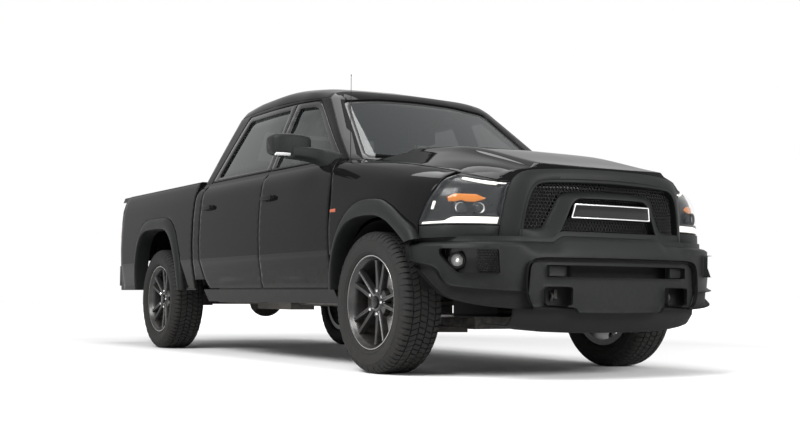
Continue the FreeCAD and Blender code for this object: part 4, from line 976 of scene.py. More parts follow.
def centreFace(u, z):
    return (*bumperPlan(u, max(0.0, 470 - z) * 0.05), z)


centrePanel = sheet("frontBumperCentre", centreFace, centreOutline, "trim",
                    holes=[slotOutline] + [sideOutline(s, kind) for kind in ("hook", "block") for s in (1, -1)],
                    step=frontBumper["step"], hem=5.0, depth=22, spacing=13)
bumperPieces.append(centrePanel)
for sideName, s in sides.items():
    block = sheet("bumperBlock." + sideName, behindFace(4.0), moved(sideOutline(s, "block"), -3.5), "trim", step=26,
                  hem=3.0, depth=14)
    pocketFloor = sheet("fogPocket." + sideName, behindFace(52.0), moved(sideOutline(s, "fog"), 6), "gloss", step=60,
                        hem=1, depth=2)
    lampRoom = onRun([(950, 560), (838, 560), (838, 700), (950, 700)], s)
    patch = honeycomb("fogMesh." + sideName, moved(sideOutline(s, "fog"), -6), behindFace(46.0), 9.0, 1.8, 8.0,
                      "gloss", clear=lampRoom)
    rows = []
    for y, z in ((898, 571), (860, 570), (800, 568), (770, 567), (738, 566)):
        u = runAt(y)
        outer, inner = bumperPlan(u, 7.0), bumperPlan(u, 46.0)
        rows.append([(outer[0], outer[1], z - 2), (outer[0], outer[1], z + 5), (inner[0], inner[1], z + 27),
                     (inner[0], inner[1], z + 18)])
    lip = skinned("fogLip." + sideName, rows, "trim", angle=30)
    bumperPieces += [block, pocketFloor, patch, lip]


def turnedPiece(name, profile, place, axis, finish, count=48, angle=35):
    # a turned shape from (radius, distance) points; axis is the direction distances run in
    axis = Vector(axis).normalized()
    first = axis.orthogonal().normalized()
    second = axis.cross(first)
    rows = []
    for i in range(count):
        a = 2 * math.pi * i / count
        spoke = first * math.cos(a) + second * math.sin(a)
        rows.append([tuple(Vector(place) + spoke * r + axis * d) for r, d in profile])
    piece = skinned(name, rows, finish, closed=False, ends=False, loop=True)
    return smoothedBy(piece, angle)


fogParts = {
    "fogBezel": ([(43, -30), (43, 4), (41, 7), (36, 7), (34, 3), (31, -10)], "gloss"),
    "fogBowl": ([(32, 2), (29, -9), (19, -19), (0.4, -23)], "steel"),
    "fogLens": ([(33.5, 2), (31, 6), (20, 9), (0.4, 11)], "lens"),
    "fogBulb": ([(0.4, 2), (8, 0), (10, -7), (10, -22)], "bright"),
}
for sideName, s in sides.items():
    for part, (profile, finish) in fogParts.items():
        bumperPieces.append(turnedPiece(part + "." + sideName, profile, (2652, s * 893, 634), (0.94, s * 0.34, 0),
                                        finish))

hookLine = [(2700, 0, 470), (2790, 0, 474), (2836, 0, 466), (2850, 0, 448), (2838, 0, 430), (2800, 0, 424)]
for sideName, s in sides.items():
    rows = []
    path = resampled([[(x, y + s * 418, z)] for x, y, z in hookLine], 36)[:, 0]
    for i, spot in enumerate(path):
        ahead = path[min(i + 1, len(path) - 1)] - path[max(i - 1, 0)]
        ahead = ahead / np.linalg.norm(ahead)
        up = np.cross(ahead, (0, 1, 0))
        rows.append([tuple(spot + np.array((0, math.cos(a), 0)) * 8.5 + up * math.sin(a) * 8.5)
                     for a in [math.pi * 2 * k / 14 for k in range(14)]])
    bumperPieces.append(skinned("towHook." + sideName, rows, "chassis", angle=60))

slotBack = sheet("bumperSlotBack", behindFace(60.0), onRun([(640, 372), (-640, 372), (-640, 646), (640, 646)]), "rough",
                 step=80, hem=1, depth=2)
chinRows = []
for y in (-640, -620, -560, -440, -220, 0, 220, 440, 560, 620, 640):
    x = bumperPlan(runAt(y), 34)[0]
    drop = 250 + 40 * (abs(y) / 640) ** 4
    chinRows.append([(x - 6, y, 384), (x - 10, y, 350), (x - 46, y, drop + 14), (x - 60, y, drop + 3),
                     (x - 80, y, drop), (2540, y, drop + 6), (2540, y, drop + 12), (x - 84, y, drop + 8),
                     (x - 62, y, drop + 20), (x - 26, y, 352), (x - 20, y, 384)])
chin = skinned("bumperChin", chinRows, "rough", angle=30)
bumperPieces += [slotBack, chin]
ride(bumperPieces, "chassis")
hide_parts("front_bumper")
print("bumper made")


# Wheels and tyres

wheel = {"pitches": 36, "radius": 407.5, "chamfer": 1.6, "groove": 6.5, "hub": 407.5,
         "nutCircle": 69.85, "nuts": 5, "spokePairs": 5, "pairHalf": 0.19}
carcass = [
    (262, 99), (273.3, 104), (274.4, 113), (280, 121), (287, 126.3), (290, 127.2), (292, 130.2), (296, 130.6),
    (298.5, 128.8), (306, 130.8), (318, 133.8), (330, 135.4), (342, 135.6), (350, 134.9), (352, 136.3), (355, 135.8),
    (357, 133.2), (366, 129.8), (378, 123.5), (388, 115.5), (394, 107), (397, 96), (397, 60), (397, 30), (397, 0),
]
shoulderLong = [(396, 75), (407.4, 76), (407.2, 90), (405.2, 99), (401, 107), (393.5, 116.5), (383, 125), (368, 131.5),
                (365, 129)]
shoulderShort = [(396, 75), (407.4, 76), (407.2, 90), (405.2, 99), (401, 107), (395, 114.8), (388, 120.5), (384, 121)]


def lugShape(name, profile, offset, half, skew=0.0, mirror=1):
    # a block round the tread: profile of (reach from the axle, place across) at one turn offset
    rows = []
    first, last = profile[0][1], profile[-1][1]
    for reach, across in profile:
        lean = skew * (across - first) / ((last - first) or 1)
        row = []
        for side, drop in ((-1, 6.0), (-1, 0.0), (1, 0.0), (1, 6.0)):
            inset = 0.0 if drop else wheel["chamfer"]
            turn = (offset + lean + side * (half - inset)) / wheel["radius"]
            row.append(((reach - drop) * math.sin(turn), mirror * across, (reach - drop) * math.cos(turn)))
        rows.append(row)
    points = [p for row in rows for p in row]
    faces = [[r * 4 + c, r * 4 + c + 1, r * 4 + c + 5, r * 4 + c + 4] for r in range(len(rows) - 1) for c in range(3)]
    end = (len(rows) - 1) * 4
    faces += [[0, 1, 2, 3], [end + 3, end + 2, end + 1, end]]
    if mirror < 0:
        faces = [face[::-1] for face in faces]
    return newPiece(name, points, [face[::-1] for face in faces], "rubber", smooth=False)


def lugTree():
    tree = treeWith("treadLugs", {"Size": 1.0})
    tree.interface.new_socket("Lug", in_out="INPUT", socket_type="NodeSocketObject")
    given = addNode(tree, "NodeGroupInput", {})
    lug = addNode(tree, "GeometryNodeObjectInfo", {"Object": given.outputs["Lug"]})
    grown = addNode(tree, "ShaderNodeCombineXYZ", {axis: given.outputs["Size"] for axis in range(3)})
    sized = addNode(tree, "GeometryNodeTransform", {"Geometry": lug.outputs["Geometry"], "Scale": grown.outputs[0]})
    instanceTail(tree, given.outputs["Geometry"], sized.outputs[0])
    return tree


lugsTree = lugTree()


def aroundAxle(name, shape, count, finish, start=0.0):
    # copies of a shape drawn at the axle, turned round it
    angles = [start + 2 * math.pi * (i + 0.37) / count for i in range(count)]
    spots = [(0, 0, 0)] * count
    facings = [(math.cos(a), 0, math.sin(a)) for a in angles]
    tangents = [(math.sin(a), 0, -math.cos(a)) for a in angles]
    made = scattered(name, spots, facings, tangents, lugsTree, {"Size": 1.0, "Lug": shape}, finish)
    bpy.data.objects.remove(shape)
    return made


def profileTurned(name, profile, finish, count=96, angle=30, closed=False):
    # profile of (reach, place across) turned round the Y axis
    rows = []
    for i in range(count):
        a = 2 * math.pi * i / count
        rows.append([(r * math.cos(a), d, r * math.sin(a)) for r, d in profile])
    piece = skinned(name, rows, finish, closed=closed, ends=False, loop=True)
    return smoothedBy(piece, angle)


def makeTyre():
    pitch = 2 * math.pi * wheel["radius"] / wheel["pitches"]
    half = (pitch / 2 - wheel["groove"]) / 2
    parts = [profileTurned("carcass", carcass + [(r, -d) for r, d in reversed(carcass[:-1])], "rubber")]

    def addLugs(profile, offset, halfWidth, skew, mirror=1):
        shape = lugShape("lug", profile, offset, halfWidth, skew, mirror)
        parts.append(aroundAxle("lugs", shape, wheel["pitches"], "rubber"))

    for mirror in (1, -1):
        shift = 0.0 if mirror > 0 else pitch * 0.25
        addLugs(shoulderLong, shift, half, 4.0, mirror)
        addLugs(shoulderShort, shift + pitch / 2, half, 4.0, mirror)
        for extra in (0, pitch / 2):
            addLugs([(396, 27), (407.5, 28), (407.5, 68), (396, 69)], shift + extra + 9, half + 1.5, -15.0, mirror)
    for extra in (0, pitch / 2):
        addLugs([(396, -21), (407.5, -20), (407.5, 20), (396, 21)], extra + 3, half + 0.5, 13.0)
    return joinMeshes("tyre", parts)


# reach from the axle, half the width, then the places across of the back and the face
spokeSections = [(46, 15, 40, 73), (80, 15, 40, 76.5), (120, 14.2, 44, 81), (170, 13, 50, 87), (212, 12, 56, 93.5),
                 (234, 12.5, 58, 97), (243, 15, 58, 99)]


def spokeRows(turn):
    rows = []
    for reach, half, back, face in spokeSections:
        section = [(-half, back), (-half, face - 9), (-half * 0.72, face), (-half * 0.34, face),
                   (-half * 0.16, face - 3.2), (half * 0.16, face - 3.2), (half * 0.34, face),
                   (half * 0.72, face), (half, face - 9), (half, back)]
        rows.append([(reach * math.cos(turn) - a * math.sin(turn), d, reach * math.sin(turn) + a * math.cos(turn))
                     for a, d in section])
    return rows


barrelProfile = [
    (236, -112), (272.5, -112.5), (272.8, -105), (257.6, -100), (257.6, -60), (247, -50), (247, 50), (257.6, 62),
    (257.6, 100), (272.6, 104.5), (273, 112), (271.6, 115), (268, 116), (264, 115.2), (261, 112), (257, 103),
    (249, 94), (243, 84), (238, 60), (236, 20),
]
hubProfile = [(93, 26), (94, 54), (90, 62), (80, 66), (58, 67.5), (54, 71), (51, 77), (46, 78.5), (36, 79)]
capProfile = [(36.5, 76), (36, 84), (33, 90), (27, 92.5), (15, 93.7), (0.5, 94)]
discProfile = [
    (72, 4), (72, -36), (76, -38), (160, -38), (165, -36), (165, -26), (160, -24.5), (160, -21.5), (165, -20),
    (165, -10), (161, -8), (96, -8), (90, -4), (88, 8), (86, 25),
]


def makeRim():
    parts = [profileTurned("barrel", barrelProfile, "rim", closed=True), profileTurned("hub", hubProfile, "rim", 64)]
    for pair in range(wheel["spokePairs"]):
        middle = math.pi + 2 * math.pi * pair / wheel["spokePairs"]
        for offset in (-wheel["pairHalf"], wheel["pairHalf"]):
            arm = skinned("spoke", resampled(spokeRows(middle + offset), 14), "rim")
            smoothedBy(arm, 30)
            parts.append(arm)
    return joinMeshes("rim", parts)


def nutShape():
    # a six-sided wheel nut with a round shoulder, drawn at its place from the axle
    rows = []
    for reach, across in ((13.5, 66), (13.5, 69), (10.5, 71), (10.4, 84), (8.2, 88), (0.4, 88.6)):
        rows.append([(reach * math.cos(a), across, wheel["nutCircle"] + reach * math.sin(a))
                     for a in [math.pi * k / 3 for k in range(6)]])
    return skinned("nut", rows, "bright", ends=False, angle=20)


def moveMesh(piece, shift, flip=False):
    # places a piece's mesh; flip turns it to face the other side
    if flip:
        piece.data.transform(Matrix.Rotation(math.pi, 4, "Z"))
    piece.data.transform(Matrix.Translation(Vector(shift) * mm))
    return piece


def copyOf(piece, name):
    made = newObject(name, piece.data.copy())
    made.data.name = name
    return made


drawn = {
    "tyre": makeTyre(), "rim": makeRim(),
    "nuts": aroundAxle("nuts", nutShape(), wheel["nuts"], "bright", math.pi - 2 * math.pi * 0.37 / wheel["nuts"]),
    "cap": profileTurned("cap", capProfile, "gloss", 40),
    "disc": profileTurned("disc", discProfile, "disc", 72),
    "lipLine": profileTurned("lipLine", [(271.5, 115.2), (270.4, 116.4), (268.4, 116.7), (266.6, 116.2)], "steel"),
}
wheelPlaces = {"front_right": (1892, -866), "front_left": (1892, 866), "rear_right": (-1677, -857),
               "rear_left": (-1677, 857)}
for place, (axleX, axleY) in wheelPlaces.items():
    for kind, source in drawn.items():
        piece = moveMesh(copyOf(source, kind + "." + place), (axleX, axleY, wheel["hub"]), axleY < 0)
        ride(piece, "wheel_" + place)
        if kind in ("tyre", "rim"):
            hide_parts(kind + "_" + place)
for source in drawn.values():
    bpy.data.objects.remove(source)
print("wheels made")


# Headlamps

lampSizes = {"turnStart": 2560.0, "turnLength": 280.0, "turnReach": 138.0, "fenderEnd": 2698.0, "depth": 30.0,
             "browDrop": 44.0}
grilleEdge = along([(742, 2690, 654), (800, 2696, 649), (874, 2706, 638), (985, 2719, 618), (1060, 2730, 597),
                    (1102, 2744, 562)])


def lampAngle(u):
    # how far the cover has turned round the front corner
    return min(max((u - lampSizes["turnStart"]) / lampSizes["turnLength"], 0.0), 1.0) * math.pi / 2


def lampX(u):
    return min(u, lampSizes["turnStart"]) + lampSizes["turnReach"] * math.sin(lampAngle(u))


def lampSurface(s, back=0.0):
    # the fender's surface, carried round the front corner to the grille
    def place(u, v):
        angle, x = lampAngle(u), lampX(u)
        share = math.cos(angle)
        y, z = fenderAt(min(x, lampSizes["fenderEnd"]), v)
        endX, endY = grilleEdge(z)
        y = endY + (y - endY) * share
        x += (endX - lampSizes["fenderEnd"]) * (1 - share)
        return x - back * math.sin(angle), s * (y - back * share), z
    return place


def lampSpot(u, z):
    return u, fenderUp(min(lampX(u), lampSizes["fenderEnd"]), z)


lampFront = lampSizes["turnStart"] + lampSizes["turnLength"] * 0.985


def lampLine(points):
    return [lampSpot(u, z) for u, z in points]


crownEdge = [(u, fenderTop(min(lampX(u), lampSizes["fenderEnd"]))) for u in np.linspace(lampFront, 2520, 15)]
topEdge = [(u, v - lampSizes["browDrop"]) for u, v in crownEdge]
coverLine = lampLine([(2402, 826), (2401, 852), (2446, 938), (2494, 1022)]) + list(reversed(topEdge))
coverLine += lampLine([(lampFront, 980), (lampFront, 900), (lampFront, 826)])
browLine = [(u, v - 2) for u, v in crownEdge] + [(u, v - lampSizes["browDrop"] + 4) for u, v in reversed(crownEdge)]
fillerLine = lampLine([(2402, 756), (2402, 822), (2500, 822), (2620, 822), (lampFront, 822), (lampFront, 756),
                       (2620, 756), (2500, 756)])
ledLine = [(u, v - 9) for u, v in topEdge[1:-2]] + [(u, v - 27) for u, v in reversed(topEdge[1:-2])]
ledgeLine = [(2416, 850), (2560, 852), (2610, 872), (2650, 874), (lampFront - 8, 874)]
stripLine = [(2410, 832), (2540, 832), (2620, 832), (lampFront - 10, 832)]
stripLine += [(u, z - 6) for u, z in reversed(ledgeLine)]
# finish, setback from the fender's surface, outline and the sheet's own sizes
lampSheets = {
    "lampCover": ("lens", 0, coverLine, {"step": 26, "hem": 2.5, "depth": 5, "spacing": 14}),
    "lampBezel": ("gloss", lampSizes["depth"], moved(coverLine, -1.5), {"step": 30, "hem": 1, "depth": 2}),
    "lampWall": ("gloss", 7, coverLine, {"holes": [moved(coverLine, -7)], "step": 60, "hem": 0.8, "depth": 22,
                                         "spacing": 14}),
    "lampFiller": ("trim", 0, fillerLine, {"step": 26, "hem": 2.5, "depth": 16, "spacing": 14}),
    "lampPaintBrow": ("paint", 0, browLine, {"step": 22, "hem": 2.5, "depth": 24, "spacing": 14}),
    "lampLed": ("led", 9, ledLine, {"step": 30, "hem": 3, "depth": 14}),
    "lampStrip": ("led", 9, lampLine(stripLine), {"step": 30, "hem": 2.5, "depth": 14}),
    "lampBrow": ("gloss", 6, lampLine(ledgeLine + [(u, z + 7) for u, z in reversed(ledgeLine)]),
                 {"step": 40, "hem": 1.5, "depth": 22}),
    "lampMarker": ("led", 14, lampLine([(2468, 912), (2478, 912), (2489, 956), (2478, 956)]),
                   {"step": 40, "hem": 2, "depth": 10}),
    "lampAmber": ("amber", 24, lampLine([(2560, 950), (2545, 976), (2590, 994), (2700, 990), (2750, 968), (2712, 946)]),
                  {"step": 40, "hem": 6, "depth": 6}),
}
beamPlaces = [(2640, 918), (2728, 916)]
beamParts = {
    "lampRing": ([(37, -14), (37, 2), (33, 5), (30, 3), (28, -8)], "gloss"),
    "lampBall": ([(28, -8), (25, 4), (15, 11), (0.4, 14)], "lens"),
    "lampBowl": ([(28, -9), (15.5, -16), (0.4, -18)], "steel"),
}
for sideName, s in sides.items():
    made = [sheet(part + "." + sideName, lampSurface(s, back), outline, finish, side=-s, **sizes)
            for part, (finish, back, outline, sizes) in lampSheets.items()]
    for u, z in beamPlaces:
        spot = np.array(lampSurface(s, 20)(*lampSpot(u, z)))
        made += [turnedPiece("%s.%s.%d" % (part, sideName, u), profile, spot, (0.88, s * 0.47, 0), finish)
                 for part, (profile, finish) in beamParts.items()]
    ride(made, "chassis")
    if s < 0:
        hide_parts("lamp_lenses")
print("headlamps made")


# Cab

cab = {"lift": 1.6, "hem": 2.4, "glassBack": 15.0, "screenFoot": 1598.4, "screenSlope": 1.316, "screenBow": 2984.5,
       "backFoot": -834.1, "backSlope": 0.3125, "lowLevel": 1200.0}
houseSkin = {"hem": cab["hem"], "lift": cab["lift"]}


def screenPlace(setback=0.0):
    def place(y, z):
        sag = cab["screenBow"] - math.sqrt(cab["screenBow"] ** 2 - y * y)
        return cab["screenFoot"] - setback - sag - cab["screenSlope"] * (z - cab["lowLevel"]), y, z
    return place


def backPlace(setback=0.0):
    def place(y, z):
        return cab["backFoot"] + setback + cab["backSlope"] * (z - cab["lowLevel"]), y, z
    return place


def sideEdge(slope, z):
    # where the cab's side meets a screen's plane
    y = 700.0
    for _ in range(30):
        x = slope(y, z)[0]
        y = float(cabSide(1)(x, z)[1])
    return x, y


def roofEdge(slope, y):
    z = 1850.0
    for _ in range(30):
        x = slope(y, z)[0]
        z = float(roofSurface(x, y)[2])
    return x, z


frontPillar = [(*sideEdge(screenPlace(), z), z) for z in np.linspace(1298, 1782, 22)]
rearPillar = [(*sideEdge(backPlace(), z), z) for z in np.linspace(1294, 1790, 18)]
frontHalf = [(*roofEdge(screenPlace(), y), y) for y in np.linspace(0, 640, 22)]
rearHalf = [(*roofEdge(backPlace(), y), y) for y in np.linspace(0, 690, 22)]

roofLine = [(x, -y) for x, z, y in reversed(frontHalf)] + [(x, y) for x, z, y in frontHalf[1:]]
roofLine += [(x, float(houseRows(x)[1]) - 1) for x in np.linspace(720, -630, 30)]
roofLine += [(x, y) for x, z, y in reversed(rearHalf)][1:] + [(x, -y) for x, z, y in rearHalf[1:-1]]
roofLine += [(x, -float(houseRows(x)[1]) + 1) for x in np.linspace(-630, 720, 30)]
cabPieces = [sheet("roofSkin", roofSurface, roofLine, "paint", step=34, depth=10, **houseSkin)]


def screenLine(foot, shoulder, brow, top, radii):
    # a screen's outline from its places on the left, each (place across, height)
    corners = [foot, shoulder, brow, (0, top), (-brow[0], brow[1]), (-shoulder[0], shoulder[1])]
    return rounded([(-foot[0], foot[1])] + corners, radii[:1] + radii + radii[2:0:-1])


windscreenLine = screenLine((742, 1300), (578, 1768), (300, 1800), 1808, [10, 40, 60, 100])
bandHole = screenLine((700, 1330), (548, 1742), (290, 1772), 1780, [40, 50, 60, 100])
outer = [(-y, z) for x, y, z in frontPillar] + [(-y, z) for x, z, y in reversed(frontHalf)]
outer += [(y, z) for x, z, y in frontHalf[1:]] + [(y, z) for x, y, z in reversed(frontPillar)]
cabPieces.append(sheet("pillarsFront", screenPlace(), outer, "paint", holes=[windscreenLine], step=40, depth=14,
                       spacing=22, **houseSkin))
windscreen = sheet("windscreen", screenPlace(cab["glassBack"]), moved(windscreenLine, 3), "screen", step=50, hem=1,
                   depth=4)
band = sheet("windscreenBand", screenPlace(cab["glassBack"] - 1), moved(windscreenLine, 2), "gloss", holes=[bandHole],
             step=60, hem=0.6, depth=1)
rearHole = rounded([(560, 1400), (-560, 1400), (-500, 1730), (500, 1730)], 30)
outer = [(y, z) for x, y, z in rearPillar] + [(y, z) for x, z, y in reversed(rearHalf)]
outer += [(-y, z) for x, z, y in rearHalf[1:]] + [(-y, z) for x, y, z in reversed(rearPillar)]
cabPieces.append(sheet("pillarsRear", backPlace(), outer, "paint", holes=[rearHole], step=44, side=-1, depth=14,
                       spacing=24, **houseSkin))
rearScreen = sheet("rearScreen", backPlace(12), moved(rearHole, 3), "glass", step=60, hem=1, depth=4, side=-1)
stopLamp = sheet("highStopLamp", backPlace(-3), rounded([(105, 1752), (-105, 1752), (-100, 1776), (100, 1776)], 6),
                 "redLens", step=40, hem=2, depth=8, side=-1)
cabPieces += [windscreen, band, rearScreen, stopLamp]

frameLines = {
    "front": ([(1286, 1302), (388, 1302), (378, 1550), (368, 1785), (652, 1773)], [6, 6, 6, 14, 60],
              [(1206, 1314), (440, 1314), (430, 1745), (655, 1735)], [16, 16, 26, 60]),
    "rear": ([(374, 1302), (354, 1785), (-422, 1787), (-518, 1600), (-660, 1302)], [6, 14, 50, 60, 6],
             [(318, 1318), (304, 1752), (-378, 1752), (-440, 1610), (-572, 1330)], [16, 26, 50, 60, 30]),
}
beltEnds = {"front": (394, 1262), "rear": (-650, 368)}
handleStarts = {"front": 425, "rear": -650}
# place along the handle, its outer face and half its height
handleSections = [(0, 998, 5), (6, 1012, 11), (16, 1022, 14.5), (34, 1027, 16), (95, 1028.5, 16.5), (156, 1027, 16),
                  (174, 1022, 14.5), (184, 1012, 11), (190, 998, 5)]
for sideName, s in sides.items():
    rail = [(x, float(houseRows(x)[2]) - 1) for x in np.linspace(740, -640, 24)]
    line = [(x, z) for x, y, z in frontPillar] + rail + [(x, z) for x, y, z in reversed(rearPillar)]
    line += [(-676, 1294), (-530, 1604), (-432, 1794), (360, 1794), (652, 1784), (1300, 1298)]
    cabPieces.append(sheet("houseSide." + sideName, cabSide(s), line, "paint", step=34, side=-s, depth=14,
                           spacing=24, **houseSkin))
    corner = [(-849, 1299), (-720, 1299), (-722, 1200), (-718, 722), (-672, 590), (-640, 562), (-849, 562)]
    cabPieces.append(bodySheet("cabCorner." + sideName, doorSkin(s), corner, s, depth=14))
    for door, (outline, radii, window, windowRadii) in frameLines.items():
        hole = rounded(window, windowRadii)
        frameSkin = sheet(door + "DoorFrame." + sideName, cabSide(s), rounded(outline, radii), "gloss", holes=[hole],
                          step=34, side=-s, depth=12, spacing=20, **houseSkin)
        pane = sheet(door + "DoorGlass." + sideName, lambda x, z, s=s: (x, cabSide(s)(x, z)[1] - s * 14, z),
                     moved(hole, 3), "glass", step=60, hem=1, depth=4, side=-s)
        low, high = beltEnds[door]
        beltLine = rounded([(low, 1299), (high, 1299), (high - 6, 1312), (low + 6, 1312)], 4, 3)
        strip = sheet(door + "BeltLine." + sideName, cabSide(s), beltLine, "trim", step=40, hem=3, side=-s, lift=6,
                      depth=8)
        ride([frameSkin, pane, strip], doorBodies[door] + sideName)
        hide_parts(door + "_door_glass_" + sideName)
    for door, start in handleStarts.items():
        rows = []
        for x, out, half in handleSections:
            ring = rounded([(986, 1100 - half), (out, 1100 - half), (out, 1100 + half), (986, 1100 + half)], 6, 4)
            rows.append([(start + x, s * y, z) for y, z in ring])
        handle = skinned(door + "Handle." + sideName, resampled(rows, 30), "paint", angle=50)
        ride(handle, doorBodies[door] + sideName)
ride(cabPieces, "chassis")
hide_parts("screens")
print("cab skins made")


# Mirrors

def boxed(name, sections, s, steps):
    # a body of rounded boxes: place across, then the ends along and up, and the corner radius
    rows = []
    for y, x0, x1, z0, z1, radius in sections:
        rows.append([(x, s * y, z) for x, z in rounded([(x0, z0), (x1, z0), (x1, z1), (x0, z1)], radius, 4)])
    return skinned(name, resampled(rows, steps), "trim", angle=50)


headRows = [
    (1030, 1112, 1206, 1322, 1412, 14), (1034, 1104, 1220, 1314, 1424, 20), (1046, 1100, 1232, 1309, 1434, 24),
    (1075, 1099, 1239, 1307, 1441, 26), (1130, 1098, 1242, 1306, 1446, 26), (1200, 1098, 1234, 1309, 1447, 26),
    (1250, 1098, 1220, 1313, 1445, 26), (1272, 1098, 1206, 1319, 1438, 26), (1281, 1099, 1194, 1326, 1430, 22),
    (1285, 1102, 1180, 1338, 1418, 14),
]
armRows = [
    (1172, 1120, 1236, 1302, 1352, 12), (1168, 1112, 1246, 1299, 1364, 16), (1110, 1112, 1250, 1296, 1368, 18),
    (1050, 1118, 1258, 1290, 1368, 20), (1000, 1134, 1272, 1280, 1364, 22), (962, 1160, 1296, 1262, 1356, 22),
    (938, 1190, 1328, 1238, 1346, 20), (918, 1214, 1356, 1214, 1336, 18), (893, 1230, 1372, 1202, 1326, 16),
]
for sideName, s in sides.items():
    head = boxed("mirrorHead." + sideName, headRows, s, 26)
    arm = boxed("mirrorArm." + sideName, armRows, s, 22)
    glassLine = onSide(s, [(1072, 1326), (1268, 1336), (1262, 1428), (1080, 1426)], 16)
    mirrorGlass = sheet("mirrorGlass." + sideName, lambda y, z: (1096.5, y, z), glassLine, "bright", step=60, hem=2,
                        depth=4, side=-1)
    strip = []
    for y in np.linspace(1182, 1270, 16):
        front = 1236 - max(0.0, y - 1190) ** 1.5 * 0.026
        strip.append([(front - 26, s * y, 1306), (front - 3, s * y, 1308.5), (front + 3, s * y, 1318),
                      (front - 4, s * y, 1324), (front - 26, s * y, 1316)])
    marker = skinned("mirrorMarker." + sideName, strip, "pale", angle=30)
    ride([head, arm, mirrorGlass, marker], "front_door_" + sideName)
    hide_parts("mirror_" + sideName)
print("mirrors made")


# Cowl, wipers and mast

cowl = {"height": 1284, "fallFrom": 1480, "fall": 0.08, "endDrop": 24, "endFrom": 620, "endLength": 130,
        "behindHood": 10}
mastFoot = (1500, -905, 1248)


def cowlPlace(x, y):
    # the ends lie lower, so the opening hood clears them
    ends = min(max((abs(y) - cowl["endFrom"]) / cowl["endLength"], 0), 1)
    return x, y, cowl["height"] - max(0, x - cowl["fallFrom"]) * cowl["fall"] - cowl["endDrop"] * ends


cowlLine = [(hoodRearX(y, cowl["behindHood"]), y) for y in np.linspace(-820, 820, 34)] + [(1396, 820), (1396, -820)]
cowlPanel = sheet("cowlPanel", cowlPlace, cowlLine, "rough", step=50, hem=3, depth=30)
wipers = []
for number, (footY, tipY) in enumerate(((-40, -640), (500, -20))):
    rows = []
    for t in np.linspace(0, 1, 16):
        y, z = footY + (tipY - footY) * t, 1318 + 20 * t
        x = screenPlace(4)(y, z)[0]
        half = 5.0 - 2 * t
        rows.append([(x - 2, y, z - 10), (x + 9, y, z - 8), (x + 13, y, z + half), (x + 4, y, z + half + 2)])
    wipers.append(skinned("wiper.%d" % number, rows, "rough", angle=30))
mastBase = turnedPiece("mastBase", [(15, 0), (15, 6), (12, 14), (6, 24), (4, 36), (2.2, 44), (0.3, 44)],
                       mastFoot, (0, 0, 1), "rough", 20)
mast = turnedPiece("mast", [(2.2, 0), (2.2, 60), (1.8, 400), (1.6, 506), (3.0, 508), (3.0, 514), (0.3, 516)],
                   (mastFoot[0], mastFoot[1], 1284), (0, 0, 1), "rough", 12)
domeBack = []
for y in np.linspace(-560, 560, 57):
    x = hoodRearX(y)
    domeBack.append([(x + 2, y, 1284), (x + 3, y, float(hoodSurface(x + 3, y)[2]) - 1)])
domeWall = skinned("hoodRearWall", domeBack, "gloss", closed=False, ends=False)
ride(domeWall, "hood")
ride([cowlPanel, mastBase, mast] + wipers, "chassis")
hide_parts("cowl")
print("cowl made")


# Flares and liners

flareSizes = {"out": 1030.0, "endOut": 1016.0, "rows": 90, "inner": 905.0, "riseFrom": 470, "riseLength": 330}
liner = {"radius": 473, "inner": 640, "outer": 930, "low": 486}


def onLine(points, count):
    # points spread evenly by length along a smooth line
    fine = smoothLine(points, 6)
    runs = np.concatenate([[0], np.cumsum([math.dist(a, b) for a, b in zip(fine, fine[1:])])])
    table = np.array(fine)
    spread = np.linspace(0, runs[-1], count)
    return [(float(np.interp(t, runs, table[:, 0])), float(np.interp(t, runs, table[:, 1]))) for t in spread]


def flarePiece(name, innerLine, outerLine, s, meets):
    inner, outer = onLine(innerLine, flareSizes["rows"]), onLine(outerLine, flareSizes["rows"])
    rows = []
    for (ix, iz), (ox, oz) in zip(inner, outer):
        rise = min(1.0, max(0.0, (min(iz, oz) - flareSizes["riseFrom"]) / flareSizes["riseLength"]))
        out = flareSizes["endOut"] + (flareSizes["out"] - flareSizes["endOut"]) * rise ** 0.6
        foot = meets(ox, oz)
        section = [(0.0, flareSizes["inner"]), (0.0, 1000.0), (0.015, out - 6), (0.06, out - 1.6), (0.14, out),
                   (0.40, out), (0.60, out - 2.5), (0.78, out - 8), (0.92, out - 15), (1.0, max(foot, out - 26)),
                   (1.0, foot - 6), (0.98, foot - 14)]
        rows.append([(ix + (ox - ix) * share, s * y, iz + (oz - iz) * share) for share, y in section])
    return skinned(name, rows, "trim", closed=False, ends=False, angle=36)


def linerPiece(name, s):
    rows = []
    radius, axleX = liner["radius"], wheelPlaces["front_left"][0]
    limit = math.asin((liner["low"] - wheel["hub"]) / radius)
    for a in np.linspace(limit, math.pi - limit, 40):
        x, z = axleX + radius * math.cos(a), wheel["hub"] + radius * math.sin(a)
        rows.append([(x, s * liner["inner"], z), (x, s * liner["outer"], z)])
    return skinned(name, rows, "rough", closed=False, ends=False)


def fenderOut(x, z):
    x = min(max(x, 1400), 2690)
    return float(fenderAt(x, fenderUp(x, z))[0])


def bedOut(x, z):
    return abs(bedSkin(1)(x, z)[1])


archPieces = []
for sideName, s in sides.items():
    archPieces += [flarePiece("frontFlare." + sideName, flareFrontIn, flareFrontOut, s, fenderOut),
                   flarePiece("rearFlare." + sideName, flareRearIn, flareRearOut, s, bedOut),
                   linerPiece("frontLiner." + sideName, s)]
ride(archPieces, "chassis")
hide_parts("wheel_arches")
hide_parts("front_fenders")
print("flares made")


# Bed, tailgate, tail lamps, rear bumper

